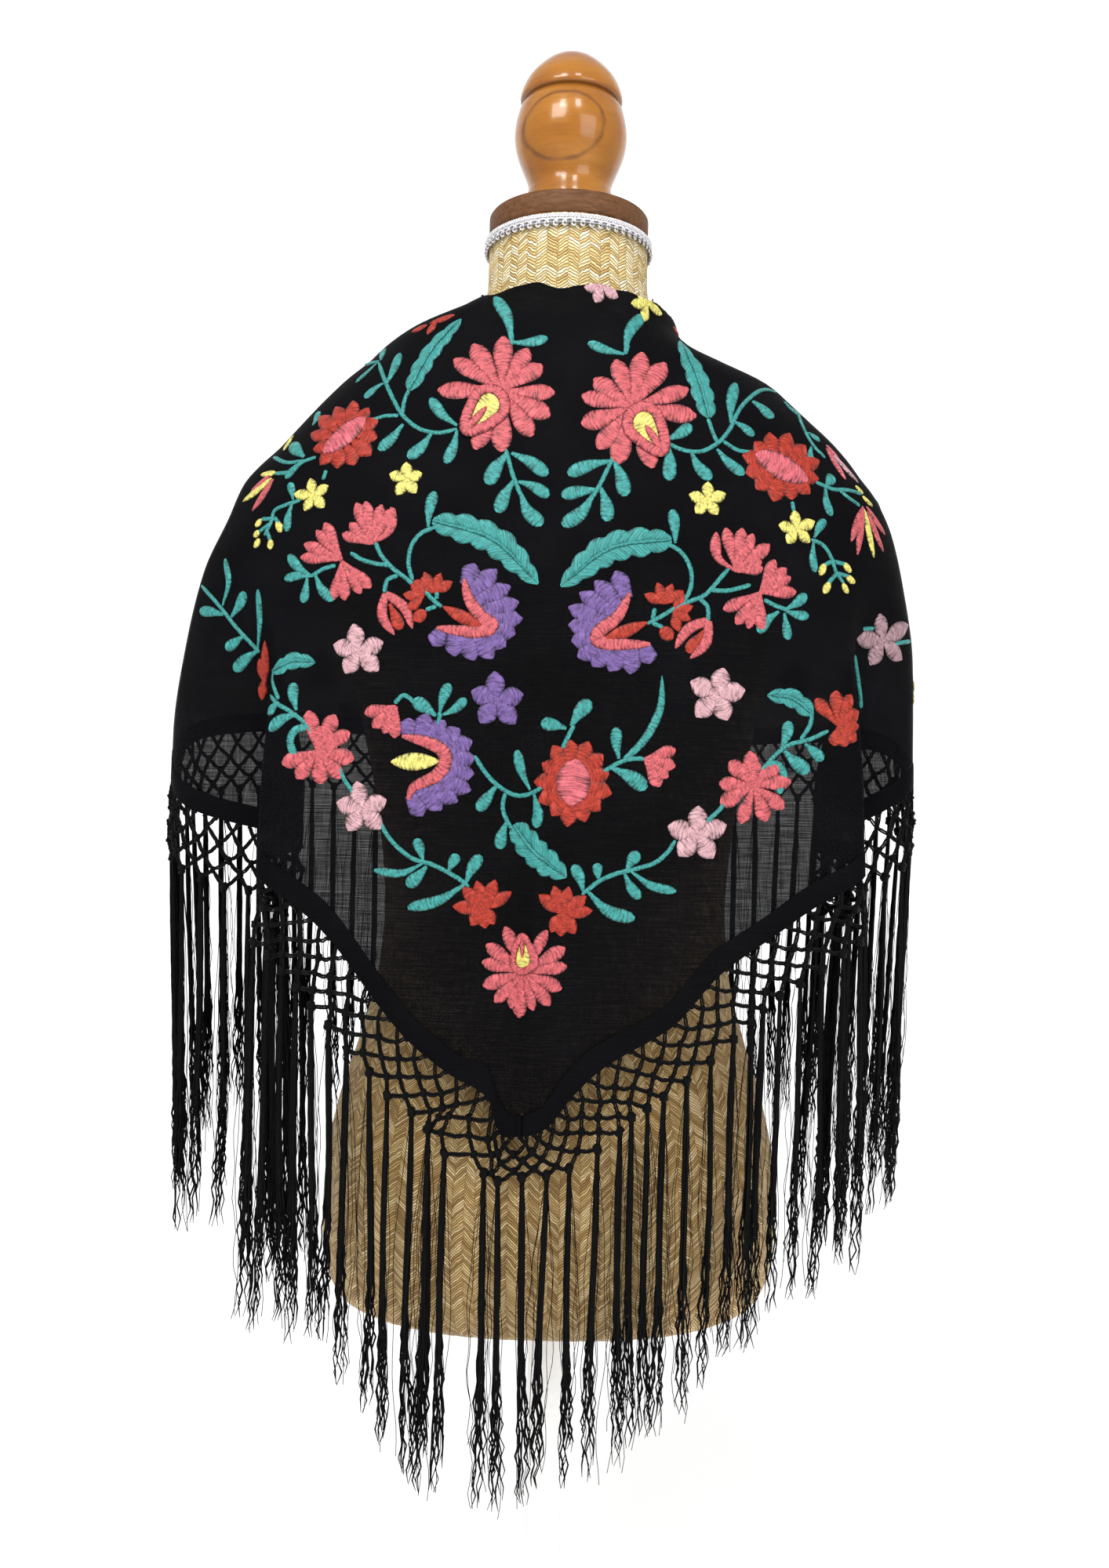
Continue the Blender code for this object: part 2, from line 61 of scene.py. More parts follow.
# The form's horizontal sections: (height, half width, depth behind the axis, depth in front of it)
FORM_SECTIONS = (
    (0.2980, 0.1360, 0.0960, 0.0860),
    (0.3040, 0.1450, 0.1045, 0.0945),
    (0.3200, 0.1525, 0.1115, 0.1010),
    (0.3500, 0.1560, 0.1150, 0.1045),
    (0.3900, 0.1545, 0.1140, 0.1045),
    (0.4300, 0.1470, 0.1080, 0.1025),
    (0.4750, 0.1330, 0.0980, 0.0985),
    (0.5200, 0.1215, 0.0900, 0.0940),
    (0.5650, 0.1180, 0.0870, 0.0920),
    (0.6200, 0.1225, 0.0885, 0.0985),
    (0.6800, 0.1340, 0.0930, 0.1160),
    (0.7300, 0.1450, 0.0975, 0.1290),
    (0.7700, 0.1540, 0.1010, 0.1270),
    (0.8100, 0.1680, 0.1030, 0.1140),
    (0.8400, 0.1840, 0.1030, 0.1020),
    (0.8620, 0.1925, 0.1010, 0.0930),
    (0.8780, 0.1888, 0.0970, 0.0860),
    (0.8930, 0.1740, 0.0915, 0.0795),
    (0.9080, 0.1550, 0.0855, 0.0735),
    (0.9230, 0.1335, 0.0790, 0.0662),
    (0.9360, 0.1080, 0.0750, 0.0650),
    (0.9480, 0.0855, 0.0700, 0.0615),
    (0.9600, 0.0710, 0.0650, 0.0590),
    (0.9720, 0.0640, 0.0600, 0.0570),
    (0.9840, 0.0575, 0.0565, 0.0560),
    (0.9980, 0.0556, 0.0556, 0.0554),
    (NECK_TOP, 0.0553, 0.0553, 0.0553),
)

# The cloth's outer face: (height, half width to -X, half width to +X, depth behind, depth in front)
CLOTH_SECTIONS = (
    (1.0000, 0.0583, 0.0582, 0.0690, 0.0595),
    (0.9900, 0.0590, 0.0586, 0.0725, 0.0603),
    (0.9820, 0.0594, 0.0598, 0.0755, 0.0615),
    (0.9760, 0.0660, 0.0645, 0.0768, 0.0630),
    (0.9700, 0.0810, 0.0755, 0.0780, 0.0645),
    (0.9580, 0.1120, 0.0795, 0.0795, 0.0675),
    (0.9460, 0.1285, 0.0925, 0.0815, 0.0700),
    (0.9340, 0.1400, 0.1185, 0.0845, 0.0725),
    (0.9220, 0.1540, 0.1450, 0.0880, 0.0755),
    (0.9096, 0.1660, 0.1590, 0.0925, 0.0800),
    (0.8975, 0.1770, 0.1722, 0.0970, 0.0850),
    (0.8850, 0.1880, 0.1860, 0.1010, 0.0905),
    (0.8730, 0.1985, 0.1970, 0.1040, 0.0955),
    (0.8610, 0.2115, 0.2060, 0.1065, 0.1005),
    (0.8490, 0.2215, 0.2155, 0.1085, 0.1055),
    (0.8250, 0.2315, 0.2265, 0.1115, 0.1150),
    (0.7890, 0.2470, 0.2350, 0.1145, 0.1290),
    (0.7400, 0.2575, 0.2427, 0.1170, 0.1350),
    (0.6800, 0.2652, 0.2450, 0.1190, 0.1365),
    (0.6200, 0.2668, 0.2460, 0.1205, 0.1375),
    (0.5500, 0.2670, 0.2470, 0.1225, 0.1390),
    (0.4000, 0.2670, 0.2470, 0.1270, 0.1420),
)

# Soft folds that hang from the shoulders: (angle, half width in degrees, how far the cloth stands out)
FOLDS = (
    (-59.0, 4.6, 0.0160),
    (-69.5, 5.2, -0.0520),
    (-107.0, 5.0, -0.0260),
    (-118.0, 4.5, 0.0070),
    (-131.0, 5.0, -0.0170),
    (-145.0, 5.0, 0.0060),
    (62.0, 4.6, 0.0170),
    (72.5, 5.2, -0.0480),
    (106.0, 5.0, -0.0240),
    (119.0, 4.8, 0.0080),
    (133.0, 5.0, -0.0150),
    (147.0, 5.0, 0.0055),
    (-27.0, 6.0, 0.0022),
    (-13.0, 3.5, -0.0028),
    (-5.0, 3.0, 0.0040),
    (9.0, 5.0, -0.0020),
    (33.0, 6.0, 0.0022),
)
FOLDS_BEGIN = 0.815
FOLDS_FULL = 0.640

# Small creases: (angle at the top, angle at the bottom, top, bottom, half width in degrees, depth)
CREASES = (
    (-20.0, -46.0, 0.93, 0.66, 1.8, 0.0007),
    (-34.0, -58.0, 0.90, 0.70, 2.0, -0.0008),
    (-8.0, -24.0, 0.88, 0.60, 1.6, 0.0006),
    (-2.0, -6.0, 0.86, 0.46, 1.3, 0.0009),
    (5.0, 14.0, 0.84, 0.55, 1.8, -0.0007),
    (18.0, 40.0, 0.92, 0.64, 2.0, 0.0008),
    (36.0, 57.0, 0.89, 0.68, 2.2, -0.0009),
    (52.0, 60.0, 0.84, 0.62, 1.8, 0.0008),
    (-52.0, -57.0, 0.84, 0.60, 1.7, 0.0008),
    (-78.0, -84.0, 0.86, 0.66, 2.4, 0.0014),
    (-92.0, -96.0, 0.84, 0.68, 2.2, -0.0013),
    (84.0, 88.0, 0.85, 0.67, 2.4, 0.0014),
    (97.0, 94.0, 0.84, 0.68, 2.0, -0.0012),
    (-112.0, -124.0, 0.86, 0.62, 2.2, 0.0012),
    (114.0, 126.0, 0.86, 0.62, 2.4, 0.0012),
    (-138.0, -152.0, 0.88, 0.52, 2.2, 0.0012),
    (139.0, 154.0, 0.88, 0.52, 2.0, 0.0011),
    (-14.0, 12.0, 0.80, 0.62, 2.6, 0.0005),
    (24.0, 2.0, 0.76, 0.52, 2.2, 0.0006),
)

# The long edge where it stands round the neck: (share of the way from back to front edge, height)
NECK_EDGE = (
    (0.00, 0.9690),
    (0.12, 0.9735),
    (0.30, 0.9700),
    (0.48, 0.9790),
    (0.64, 0.9890),
    (0.80, 0.9860),
    (0.92, 0.9700),
    (1.00, 0.9450),
)

# The long edge where it hangs down the front: (height, angle)
FRONT_EDGE = (
    (0.430, 163.0),
    (0.600, 162.0),
    (0.720, 160.5),
    (0.800, 158.0),
    (0.860, 153.0),
    (0.910, 146.0),
    (0.950, 138.0),
    (0.990, 132.0),
)

# Lower edge of the hem from the point up to the side and down to the front corner: (angle, height)
HEM_LEFT = (
    (-163.0, 0.468),
    (-157.0, 0.520),
    (-151.0, 0.573),
    (-145.0, 0.624),
    (-138.0, 0.664),
    (-131.0, 0.683),
    (-118.0, 0.688),
    (-105.0, 0.684),
    (-90.0, 0.664),
    (-80.0, 0.636),
    (-69.0, 0.608),
    (-59.3, 0.587),
    (-50.4, 0.5465),
    (-42.0, 0.5094),
    (-36.0, 0.4897),
    (-26.5, 0.4714),
    (-17.4, 0.4574),
    (-13.8, 0.4330),
    (TIP_ANGLE, 0.4345),
)
HEM_RIGHT = (
    (TIP_ANGLE, 0.4345),
    (-1.8, 0.4390),
    (5.4, 0.4574),
    (13.8, 0.4757),
    (30.4, 0.5017),
    (41.2, 0.5340),
    (53.4, 0.5633),
    (62.4, 0.5940),
    (72.0, 0.6120),
    (82.0, 0.6500),
    (90.0, 0.6610),
    (105.0, 0.6830),
    (118.0, 0.6860),
    (131.0, 0.6810),
    (138.0, 0.6620),
    (145.0, 0.6220),
    (151.0, 0.5710),
    (157.0, 0.5180),
    (163.0, 0.4650),
)

# Where the locks end: (angle from the middle of the back, height)
LOCK_ENDS = (
    (-163.0, 0.205),
    (-157.0, 0.255),
    (-151.0, 0.305),
    (-145.0, 0.355),
    (-138.0, 0.392),
    (-131.0, 0.402),
    (-105.0, 0.400),
    (-90.0, 0.378),
    (-75.0, 0.350),
    (-59.0, 0.314),
    (-50.0, 0.292),
    (-45.0, 0.262),
    (-40.0, 0.236),
    (-32.0, 0.222),
    (-23.0, 0.205),
    (-8.0, 0.212),
    (10.0, 0.224),
    (21.0, 0.240),
    (34.0, 0.265),
    (41.0, 0.286),
    (52.0, 0.318),
    (60.0, 0.346),
    (72.0, 0.362),
    (90.0, 0.378),
    (105.0, 0.398),
    (131.0, 0.400),
    (138.0, 0.390),
    (145.0, 0.352),
    (151.0, 0.302),
    (157.0, 0.252),
    (163.0, 0.203),
)
LOCK_LEAN_INWARDS = 0.045

# Turned profiles: (radius, height)
FINIAL = (
    (0.0318, 1.0446),
    (0.0323, 1.0490),
    (0.0312, 1.0550),
    (0.0296, 1.0620),
    (0.0290, 1.0662),
    (0.0298, 1.0708),
    (0.0320, 1.0765),
    (0.0358, 1.0856),
    (0.0379, 1.0920),
    (0.0390, 1.0980),
    (0.0393, 1.1025),
    (0.0389, 1.1085),
    (0.0378, 1.1145),
    (0.0360, 1.1208),
    (0.0336, 1.1243),
    (0.0330, 1.1256),
)
FINIAL_CAP = (
    (0.0330, 1.1256),
    (0.0352, 1.1268),
    (0.0357, 1.1290),
    (0.0344, 1.1345),
    (0.0308, 1.1417),
    (0.0242, 1.1494),
    (0.0166, 1.1556),
    (0.0085, 1.1590),
    (0.0030, 1.1600),
)
NECK_PLATE = (
    (0.0528, 1.0289),
    (0.0545, 1.0291),
    (0.0555, 1.0303),
    (0.0555, 1.0430),
    (0.0546, 1.0442),
    (0.0528, 1.0444),
    (0.0320, 1.0445),
)
BRAID_FROM, BRAID_TO = 1.0182, 1.0276

# The camera: level, a little rolled, behind the shawl
CAMERA_PLACE = Vector((-0.002, -0.9625, 0.65))
CAMERA_ROLL = 1.19
FOCAL_PIXELS = 1750.0
PICTURE_WIDTH, PICTURE_HEIGHT = 1414, 2000
SENSOR_HEIGHT = 36.0

THREAD_COLOURS = (
    ("teal", (0.036, 0.262, 0.244)),
    ("coral", (0.500, 0.092, 0.104)),
    ("red", (0.350, 0.024, 0.009)),
    ("pink", (0.520, 0.300, 0.325)),
    ("purple", (0.140, 0.080, 0.255)),
    ("yellow", (0.670, 0.600, 0.150)),
    ("rose", (0.530, 0.105, 0.130)),
    ("dusty", (0.330, 0.200, 0.225)),
)


# Shared helpers


def along(table, x, column=1):
    """A smooth value from a table whose first column rises or falls: a cubic with no overshoot."""
    rows = table if table[0][0] < table[-1][0] else table[::-1]
    if x <= rows[0][0]:
        return rows[0][column]
    if x >= rows[-1][0]:
        return rows[-1][column]
    i = 0
    while rows[i + 1][0] <= x:
        i += 1

    def slope(k):
        return (rows[k + 1][column] - rows[k][column]) / (rows[k + 1][0] - rows[k][0])

    def tangent(k):
        if k == 0 or k == len(rows) - 1:
            return slope(0) if k == 0 else slope(k - 1)
        a, b = slope(k - 1), slope(k)
        return 0.0 if a * b <= 0 else 2 * a * b / (a + b)

    width = rows[i + 1][0] - rows[i][0]
    t = (x - rows[i][0]) / width
    return (
        rows[i][column] * (1 + 2 * t) * (1 - t) ** 2
        + width * tangent(i) * t * (1 - t) ** 2
        + rows[i + 1][column] * t * t * (3 - 2 * t)
        + width * tangent(i + 1) * t * t * (t - 1)
    )


def smooth_step(low, high, x):
    t = min(1.0, max(0.0, (x - low) / (high - low)))
    return t * t * (3 - 2 * t)


def section_radius(angle, half_width, depth, height):
    power = BODY_SECTION_POWER
    power += (NECK_SECTION_POWER - BODY_SECTION_POWER) * smooth_step(0.90, 0.985, height)
    side = abs(math.sin(math.radians(angle))) / half_width
    face = abs(math.cos(math.radians(angle))) / depth
    return (side**power + face**power) ** (-1 / power)


def on_plan(angle, radius, height):
    turn = math.radians(angle)
    return Vector((radius * math.sin(turn), -radius * math.cos(turn), height))


def form_point(angle, height):
    back_or_front = 2 if math.cos(math.radians(angle)) > 0 else 3
    depth = along(FORM_SECTIONS, height, back_or_front)
    return on_plan(angle, section_radius(angle, along(FORM_SECTIONS, height), depth, height), height)


def cloth_point(angle, height):
    """The draped cloth's outer face, with its hanging folds and small creases."""
    half_width = along(CLOTH_SECTIONS, height, 1 if angle < 0 else 2)
    behind = math.cos(math.radians(angle)) > 0
    depth = along(CLOTH_SECTIONS, height, 3 if behind else 4)
    radius = section_radius(angle, half_width, depth, height)
    hang = smooth_step(FOLDS_BEGIN, FOLDS_FULL, height)
    for middle, half, out in FOLDS:
        if abs(angle - middle) < 4 * half:
            radius += hang * out * math.exp(-(((angle - middle) / half) ** 2))
    for above, below, top, bottom, half, depth in CREASES:
        t = (top - height) / (top - bottom)
        if 0 < t < 1:
            middle = above + (below - above) * t
            fade = math.sin(math.pi * t) ** 0.7
            radius += fade * depth * math.exp(-(((angle - middle) / half) ** 2))
    return on_plan(angle, radius, height)


def cloth_at(share, height):
    return cloth_point(share * along(FRONT_EDGE, height), height)


def hem_height(share):
    height = 0.6
    for _ in range(6):
        angle = share * along(FRONT_EDGE, height)
        height = along(HEM_LEFT if angle < TIP_ANGLE else HEM_RIGHT, angle)
    return height


def seam_height(share):
    step = 0.012
    low, high = max(-1.0, share - step), min(1.0, share + step)
    a, b = cloth_at(low, hem_height(low)), cloth_at(high, hem_height(high))
    rise, run = b.z - a.z, math.hypot(b.x - a.x, b.y - a.y)
    return hem_height(share) + HEM_WIDTH * min(MOST_STEEP, math.hypot(1.0, rise / run))


def placed(name, data):
    """A new object in the scene for a mesh, a light or a camera."""
    obj = bpy.data.objects.new(name, data)
    bpy.context.scene.collection.objects.link(obj)
    return obj


def new_object(name, points, faces, materials, uvs, slots=None):
    """A smooth mesh object; uvs holds a pair for each point."""
    mesh = bpy.data.meshes.new(name)
    mesh.from_pydata([tuple(p) for p in points], [], faces)
    for made_of in materials:
        mesh.materials.append(made_of)
    layer = mesh.uv_layers.new(name="UVMap")
    for loop in mesh.loops:
        layer.data[loop.index].uv = uvs[loop.vertex_index]
    if slots:
        mesh.polygons.foreach_set("material_index", slots)
    mesh.shade_smooth()
    mesh.update()
    obj = placed(name, mesh)
    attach(obj, "root")
    return obj


def grid_faces(start, rows, columns):
    """Faces between rows of points that lie one after another."""
    corners = [start + i * columns + j for i in range(rows - 1) for j in range(columns - 1)]
    return [(a, a + columns, a + columns + 1, a + 1) for a in corners]


def closed_ring_faces(start, rings, sides):
    """Faces between rings of points, with a cap at each end."""
    faces = []
    for k in range(rings - 1):
        a = start + k * sides
        for m in range(sides):
            n = (m + 1) % sides
            faces.append((a + m, a + n, a + sides + n, a + sides + m))
    last = start + (rings - 1) * sides
    faces.append(tuple(start + m for m in reversed(range(sides))))
    faces.append(tuple(last + m for m in range(sides)))
    return faces


def spline(points, count):
    """Evenly spaced points on a smooth curve through the given ones."""
    if len(points) == 2:
        return [points[0].lerp(points[1], k / (count - 1)) for k in range(count)]
    padded = [points[0] * 2 - points[1], *points, points[-1] * 2 - points[-2]]
    dense = []
    for a, b, c, d in zip(padded, padded[1:], padded[2:], padded[3:]):
        for k in range(12):
            t = k / 12
            dense.append(
                0.5
                * (
                    2 * b
                    + (c - a) * t
                    + (2 * a - 5 * b + 4 * c - d) * t * t
                    + (3 * b - a - 3 * c + d) * t**3
                )
            )
    dense.append(points[-1])
    lengths = [0.0]
    for a, b in zip(dense, dense[1:]):
        lengths.append(lengths[-1] + (b - a).length)
    out, i = [], 0
    for k in range(count):
        want = lengths[-1] * k / (count - 1)
        while i < len(lengths) - 2 and lengths[i + 1] < want:
            i += 1
        span = max(lengths[i + 1] - lengths[i], 1e-9)
        out.append(dense[i].lerp(dense[i + 1], min(1.0, (want - lengths[i]) / span)))
    return out


class Shapes:
    """Points and faces that grow into one mesh."""

    def __init__(self):
        self.points, self.faces, self.uvs, self.slots = [], [], [], []

    def tube(self, path, radii, sides, slot=0, flat=1.0):
        """A closed tube along a path; radii is one radius for each point."""
        start = len(self.points)
        length = 0.0
        guide = None
        for k, point in enumerate(path):
            ahead = path[min(k + 1, len(path) - 1)] - path[max(k - 1, 0)]
            ahead.normalize()
            if guide is None:
                guide = ahead.orthogonal().normalized()
            guide = (guide - ahead * guide.dot(ahead)).normalized()
            across = ahead.cross(guide)
            if k:
                length += (point - path[k - 1]).length
            for m in range(sides):
                turn = math.tau * m / sides
                offset = guide * math.cos(turn) + across * (math.sin(turn) * flat)
                self.points.append(point + offset * radii[k])
                self.uvs.append((length, radii[k] * turn))
        faces = closed_ring_faces(start, len(path), sides)
        self.faces += faces
        self.slots += [slot] * len(faces)

    def make(self, name, materials):
        return new_object(name, self.points, self.faces, materials, self.uvs, self.slots)


# Materials


class Wire:
    """A value that runs between a material's nodes; plain arithmetic on it adds the nodes."""

    def __init__(self, look, socket):
        self.look, self.socket = look, socket

    def maths(self, operation, b=0.0):
        return self.look.maths(operation, self, b)

    def __add__(self, other):
        return self.maths("ADD", other)

    def __sub__(self, other):
        return self.maths("SUBTRACT", other)

    def __rsub__(self, other):
        return self.look.maths("SUBTRACT", other, self)

    def __mul__(self, other):
        return self.maths("MULTIPLY", other)

    def __pow__(self, other):
        return self.maths("POWER", other)

    def __abs__(self):
        return self.maths("ABSOLUTE")

    def carried(self, low, high, to_low=0.0, to_high=1.0):
        """The value carried over from one range to another."""
        inputs = {"Value": self, "From Min": low, "From Max": high, "To Min": to_low, "To Max": to_high}
        return self.look.node("ShaderNodeMapRange", inputs)

    def ramp(self, *stops):
        """Colours for the value, from (place, colour) stops."""
        colours = self.look.node("ShaderNodeValToRGB", {"Fac": self})
        band = colours.socket.node.color_ramp
        while len(band.elements) < len(stops):
            band.elements.new(0.5)
        for element, (place, colour) in zip(band.elements, stops):
            element.position = place
            element.color = (*colour, 1.0)
        return colours


class Look:
    """A material and the nodes that feed its shader."""

    def __init__(self, name, **inputs):
        self.material = bpy.data.materials.new(name)
        self.material.use_nodes = True
        self.tree = self.material.node_tree
        self.shader = self.tree.nodes["Principled BSDF"]
        for key, value in inputs.items():
            self.feed(self.shader, key.replace("_", " "), value)
        self.uv = self.node("ShaderNodeTexCoord", {}, "UV")
        self.place = self.node("ShaderNodeTexCoord", {}, "Object")

    def feed(self, made, key, value):
        if isinstance(value, Wire):
            self.tree.links.new(value.socket, made.inputs[key])
        else:
            made.inputs[key].default_value = value

    def node(self, kind, inputs, output=0, **settings):
        made = self.tree.nodes.new(kind)
        for key, value in settings.items():
            setattr(made, key, value)
        for key, value in inputs.items():
            self.feed(made, key, value)
        return Wire(self, made.outputs[output])

    def maths(self, operation, a, b=0.0):
        return self.node("ShaderNodeMath", {0: a, 1: b}, operation=operation)

    def parts(self, vector):
        return [self.node("ShaderNodeSeparateXYZ", {"Vector": vector}, axis) for axis in "XYZ"]

    def noise(self, vector, scale, detail, roughness=0.5, offset=(0, 0, 0)):
        at = self.node("ShaderNodeMapping", {"Vector": vector, "Scale": scale, "Location": offset})
        inputs = {"Vector": at, "Scale": 1.0, "Detail": detail, "Roughness": roughness}
        return self.node("ShaderNodeTexNoise", inputs)

    def mix(self, blend, factor, a, b):
        inputs = {"Factor": factor, "A": a, "B": b}
        return self.node("ShaderNodeMix", inputs, "Result", data_type="RGBA", blend_type=blend)

    def finish(self, colour, relief, depth, strength):
        """The colour and the fine relief."""
        self.feed(self.shader, "Base Color", colour)
        inputs = {"Height": relief, "Distance": depth, "Strength": strength}
        self.feed(self.shader, "Normal", self.node("ShaderNodeBump", inputs))
        return self.material


def shade(colour, factor):
    return tuple(min(1.0, max(0.0, c * factor)) for c in colour)


def thread_material(name, colour):
    """Satin stitch. U is metres along the shape and V runs from -1 to 1 across it, the way of the threads,
    which dive into the cloth at both edges."""
    look = Look(name, Roughness=0.48, Specular_IOR_Level=0.30)
    streaks = look.noise(look.uv, (820, 0.8, 1), 2.0, 0.55)
    clumps = look.noise(look.uv, (330, 0.9, 1), 2.0, 0.6, (3, 7, 0))
    broken = look.noise(look.uv, (700, 4.0, 1), 2.0, 0.6, (9, 2, 0))
    # painted shade: the colour and the relief fall off towards both edges, where the threads dive into the
    # cloth
    edge = abs(look.parts(look.uv)[1])
    streaks_and_edge_shade = streaks * 0.55 + clumps * 0.25 + broken * 0.20 - edge.carried(0.66, 1.0, 0.0, 0.15)
    brightest = tuple(min(1.0, c * 1.35 + 0.02) for c in colour)
    stops = ((0.33, shade(colour, 0.12)), (0.43, shade(colour, 0.60)), (0.51, colour), (0.64, brightest))
    return look.finish(streaks_and_edge_shade.ramp(*stops), streaks_and_edge_shade, 0.0008, 1.0)


def cloth_material(name, colour, sheer=None):
    """Thin black plain weave with slubs along the weft. Where it is sheer, light comes through between the
    threads, by the least and the most share given, and less of it higher up, where the cloth gathers."""
    look = Look(name, Roughness=0.72, Specular_IOR_Level=0.035)
    weft = look.noise(look.uv, (38, 1150, 1), 3.0, 0.6)
    warp = look.noise(look.uv, (2200, 60, 1), 2.0, 0.5, (5, 1, 0))
    broad = look.noise(look.uv, (14, 22, 1), 3.0, 0.5, (1, 9, 0))
    weave = weft * 0.65 + warp * 0.35
    tone = weave * 0.6 + broad * 0.4
    if sheer:
        gathered = look.parts(look.place)[2].carried(0.72, 0.90, 1.0, 0.25)
        look.feed(look.shader, "Alpha", 1.0 - weave.carried(0.38, 0.60, *sheer) * gathered)
    stops = ((0.30, shade(colour, 0.55)), (0.52, colour), (0.75, shade(colour, 2.3)))
    return look.finish(tone.ramp(*stops), weave, 0.00012, 0.7)


def fringe_material(name):
    look = Look(name, Roughness=0.42, Specular_IOR_Level=0.07)
    strands = look.noise(look.uv, (180, 2600, 1), 2.0, 0.6)
    stops = ((0.35, (0.0016, 0.0016, 0.0018)), (0.6, (0.005, 0.005, 0.0055)), (0.85, (0.013, 0.013, 0.014)))
    return look.finish(strands.ramp(*stops), strands, 0.0004, 0.9)


def straw_material(name, tones, straws, slope, paler_by):
    """Plaited strips: U counts strips, V is metres. Straws slope down to the middle of each strip."""
    look = Look(name, Roughness=0.55, Specular_IOR_Level=0.4)
    u, v, _ = look.parts(look.uv)
    u = u + (look.noise(look.uv, (2.0, 90, 1), 2.0) - 0.5) * 0.24
    strip = u.maths("FLOOR")
    inside = u - strip - 0.5
    away = abs(inside)
    half = inside.maths("GREATER_THAN")
    jitter = look.noise(look.uv, (5.2, 190, 1), 2.0, 0.5, (4, 2, 0)) - 0.5
    rows = v * straws + jitter * 1.2 - away * slope + half * 0.5
    cell = rows.maths("FLOOR")
    seed = look.node("ShaderNodeCombineXYZ", {"X": strip + half * 0.37, "Y": cell})
    tint = look.node("ShaderNodeTexWhiteNoise", {"Vector": seed})
    crown = ((rows - cell) * math.pi).maths("SINE") ** 0.85
    edge = 1.0 - (away * 2.0) ** 9.0 * 0.55
    fold = (away * 9.0 + 0.45).maths("MINIMUM", 1.0)
    relief = crown * edge * fold
    fibre = look.noise(look.uv, (26, 1500, 1), 2.0, 0.6, (7, 3, 0))
    colour = (tint * 0.62 + fibre * 0.38).ramp(*zip((0.15, 0.5, 0.85), tones))
    # painted shade: the colour darkens where the relief is low, in the gaps between straws, at the strips'
    # edges and down each strip's middle fold
    dark = relief.ramp((0.0, (0.22, 0.17, 0.12)), (0.45, (0.78, 0.74, 0.68)), (0.80, (1, 1, 1)))
    paler = look.parts(look.place)[2].carried(0.70, 0.95, 1.0, paler_by)
    lifted = look.node("ShaderNodeVectorMath", {"Vector": colour, "Scale": paler}, operation="SCALE")
    height = relief + fibre * 0.15 + tint * 0.3
    return look.finish(look.mix("MULTIPLY", 1.0, lifted, dark), height, 0.0011, 0.9)


def braid_material(name, tone):
    look = Look(name, Roughness=0.6, Sheen_Weight=0.3)
    twist = look.noise(look.uv, (1400, 700, 1), 2.0)
    # a tone below 1 gives a darker copy of the white braid: painted shade
    colour = twist.ramp((0.3, shade((0.46, 0.44, 0.46), tone)), (0.6, shade((0.80, 0.79, 0.81), tone)))
    return look.finish(colour, twist, 0.0003, 1.0)


def varnished_material():
    """Varnished turned wood: long grain, one dark growth ring round a knot on the back, and painted shade in
    the cut under the cap's brim.
    """
    knot_x, knot_z, knot_width, ring_radius = -0.0050, 1.0967, 1.27, 0.0213
    groove_height = 1.1252
    look = Look(
        "varnished_wood",
        Roughness=0.22,
        Specular_IOR_Level=0.3,
        Coat_Weight=0.45,
        Coat_Roughness=0.08,
    )
    x, y, z = look.parts(look.place)
    wander = look.noise(look.place, (26, 26, 26), 3.0) - 0.5
    wide = (x - knot_x).maths("DIVIDE", knot_width)
    ring = (wide**2.0 + (z - knot_z) ** 2.0) ** 0.5 + wander * 0.007
    grain = look.noise(look.place, (60, 60, 900), 4.0, 0.6)
    cloud = look.noise(look.place, (30, 30, 60), 3.0, 0.5, (2, 5, 1))
    tones = ((0.25, (0.250, 0.078, 0.006)), (0.5, (0.345, 0.126, 0.010)), (0.75, (0.440, 0.182, 0.019)))
    colour = (grain * 0.35 + cloud * 0.65).ramp(*tones)
    here = y.maths("LESS_THAN", 0.0) * z.maths("LESS_THAN", groove_height)
    patchy = look.noise(look.place, (70, 70, 70), 3.0).carried(0.35, 0.6)
    line = abs(ring - ring_radius).carried(0.0003, 0.0017, 1.0, 0.0)
    # painted shade: a dark band in the cut under the cap's brim; mark joins it to the real growth ring
    groove_shade = abs(z - groove_height).carried(0.0004, 0.0022, 0.8, 0.0)
    mark = (line * here * (patchy * 0.5 + 0.35)).maths("MAXIMUM", groove_shade)
    return look.finish(look.mix("MIX", mark, colour, (0.14, 0.050, 0.012, 1.0)), grain, 0.0002, 0.3)


def plate_material():
    look = Look("stained_wood", Roughness=0.6, Specular_IOR_Level=0.2)
    grain = look.noise(look.place, (60, 400, 420), 4.0, 0.65)
    tones = ((0.3, (0.085, 0.034, 0.013)), (0.55, (0.140, 0.060, 0.024)), (0.8, (0.195, 0.092, 0.042)))
    return look.finish(grain.ramp(*tones), grain, 0.0003, 0.5)


def painted_material():
    look = Look("pale_painted_steel", Roughness=0.38, Coat_Weight=0.2)
    peel = look.noise(look.place, (220, 220, 220), 2.0)
    return look.finish(peel.ramp((0.3, (0.90, 0.90, 0.89)), (0.7, (0.95, 0.95, 0.94))), peel, 0.0002, 0.3)


# Camera, floor and light


def camera_matrix():
    upright = Euler((math.radians(90), 0, 0)).to_matrix().to_4x4()
    rolled = Matrix.Rotation(math.radians(CAMERA_ROLL), 4, "Z")
    return Matrix.Translation(CAMERA_PLACE) @ upright @ rolled


def add_camera():
    data = bpy.data.cameras.new("camera")
    data.sensor_fit = "VERTICAL"
    data.sensor_height = SENSOR_HEIGHT
    data.lens = FOCAL_PIXELS * SENSOR_HEIGHT / PICTURE_HEIGHT
    data.clip_start = 0.05
    obj = placed("camera", data)
    obj.matrix_world = camera_matrix()
    bpy.context.scene.camera = obj


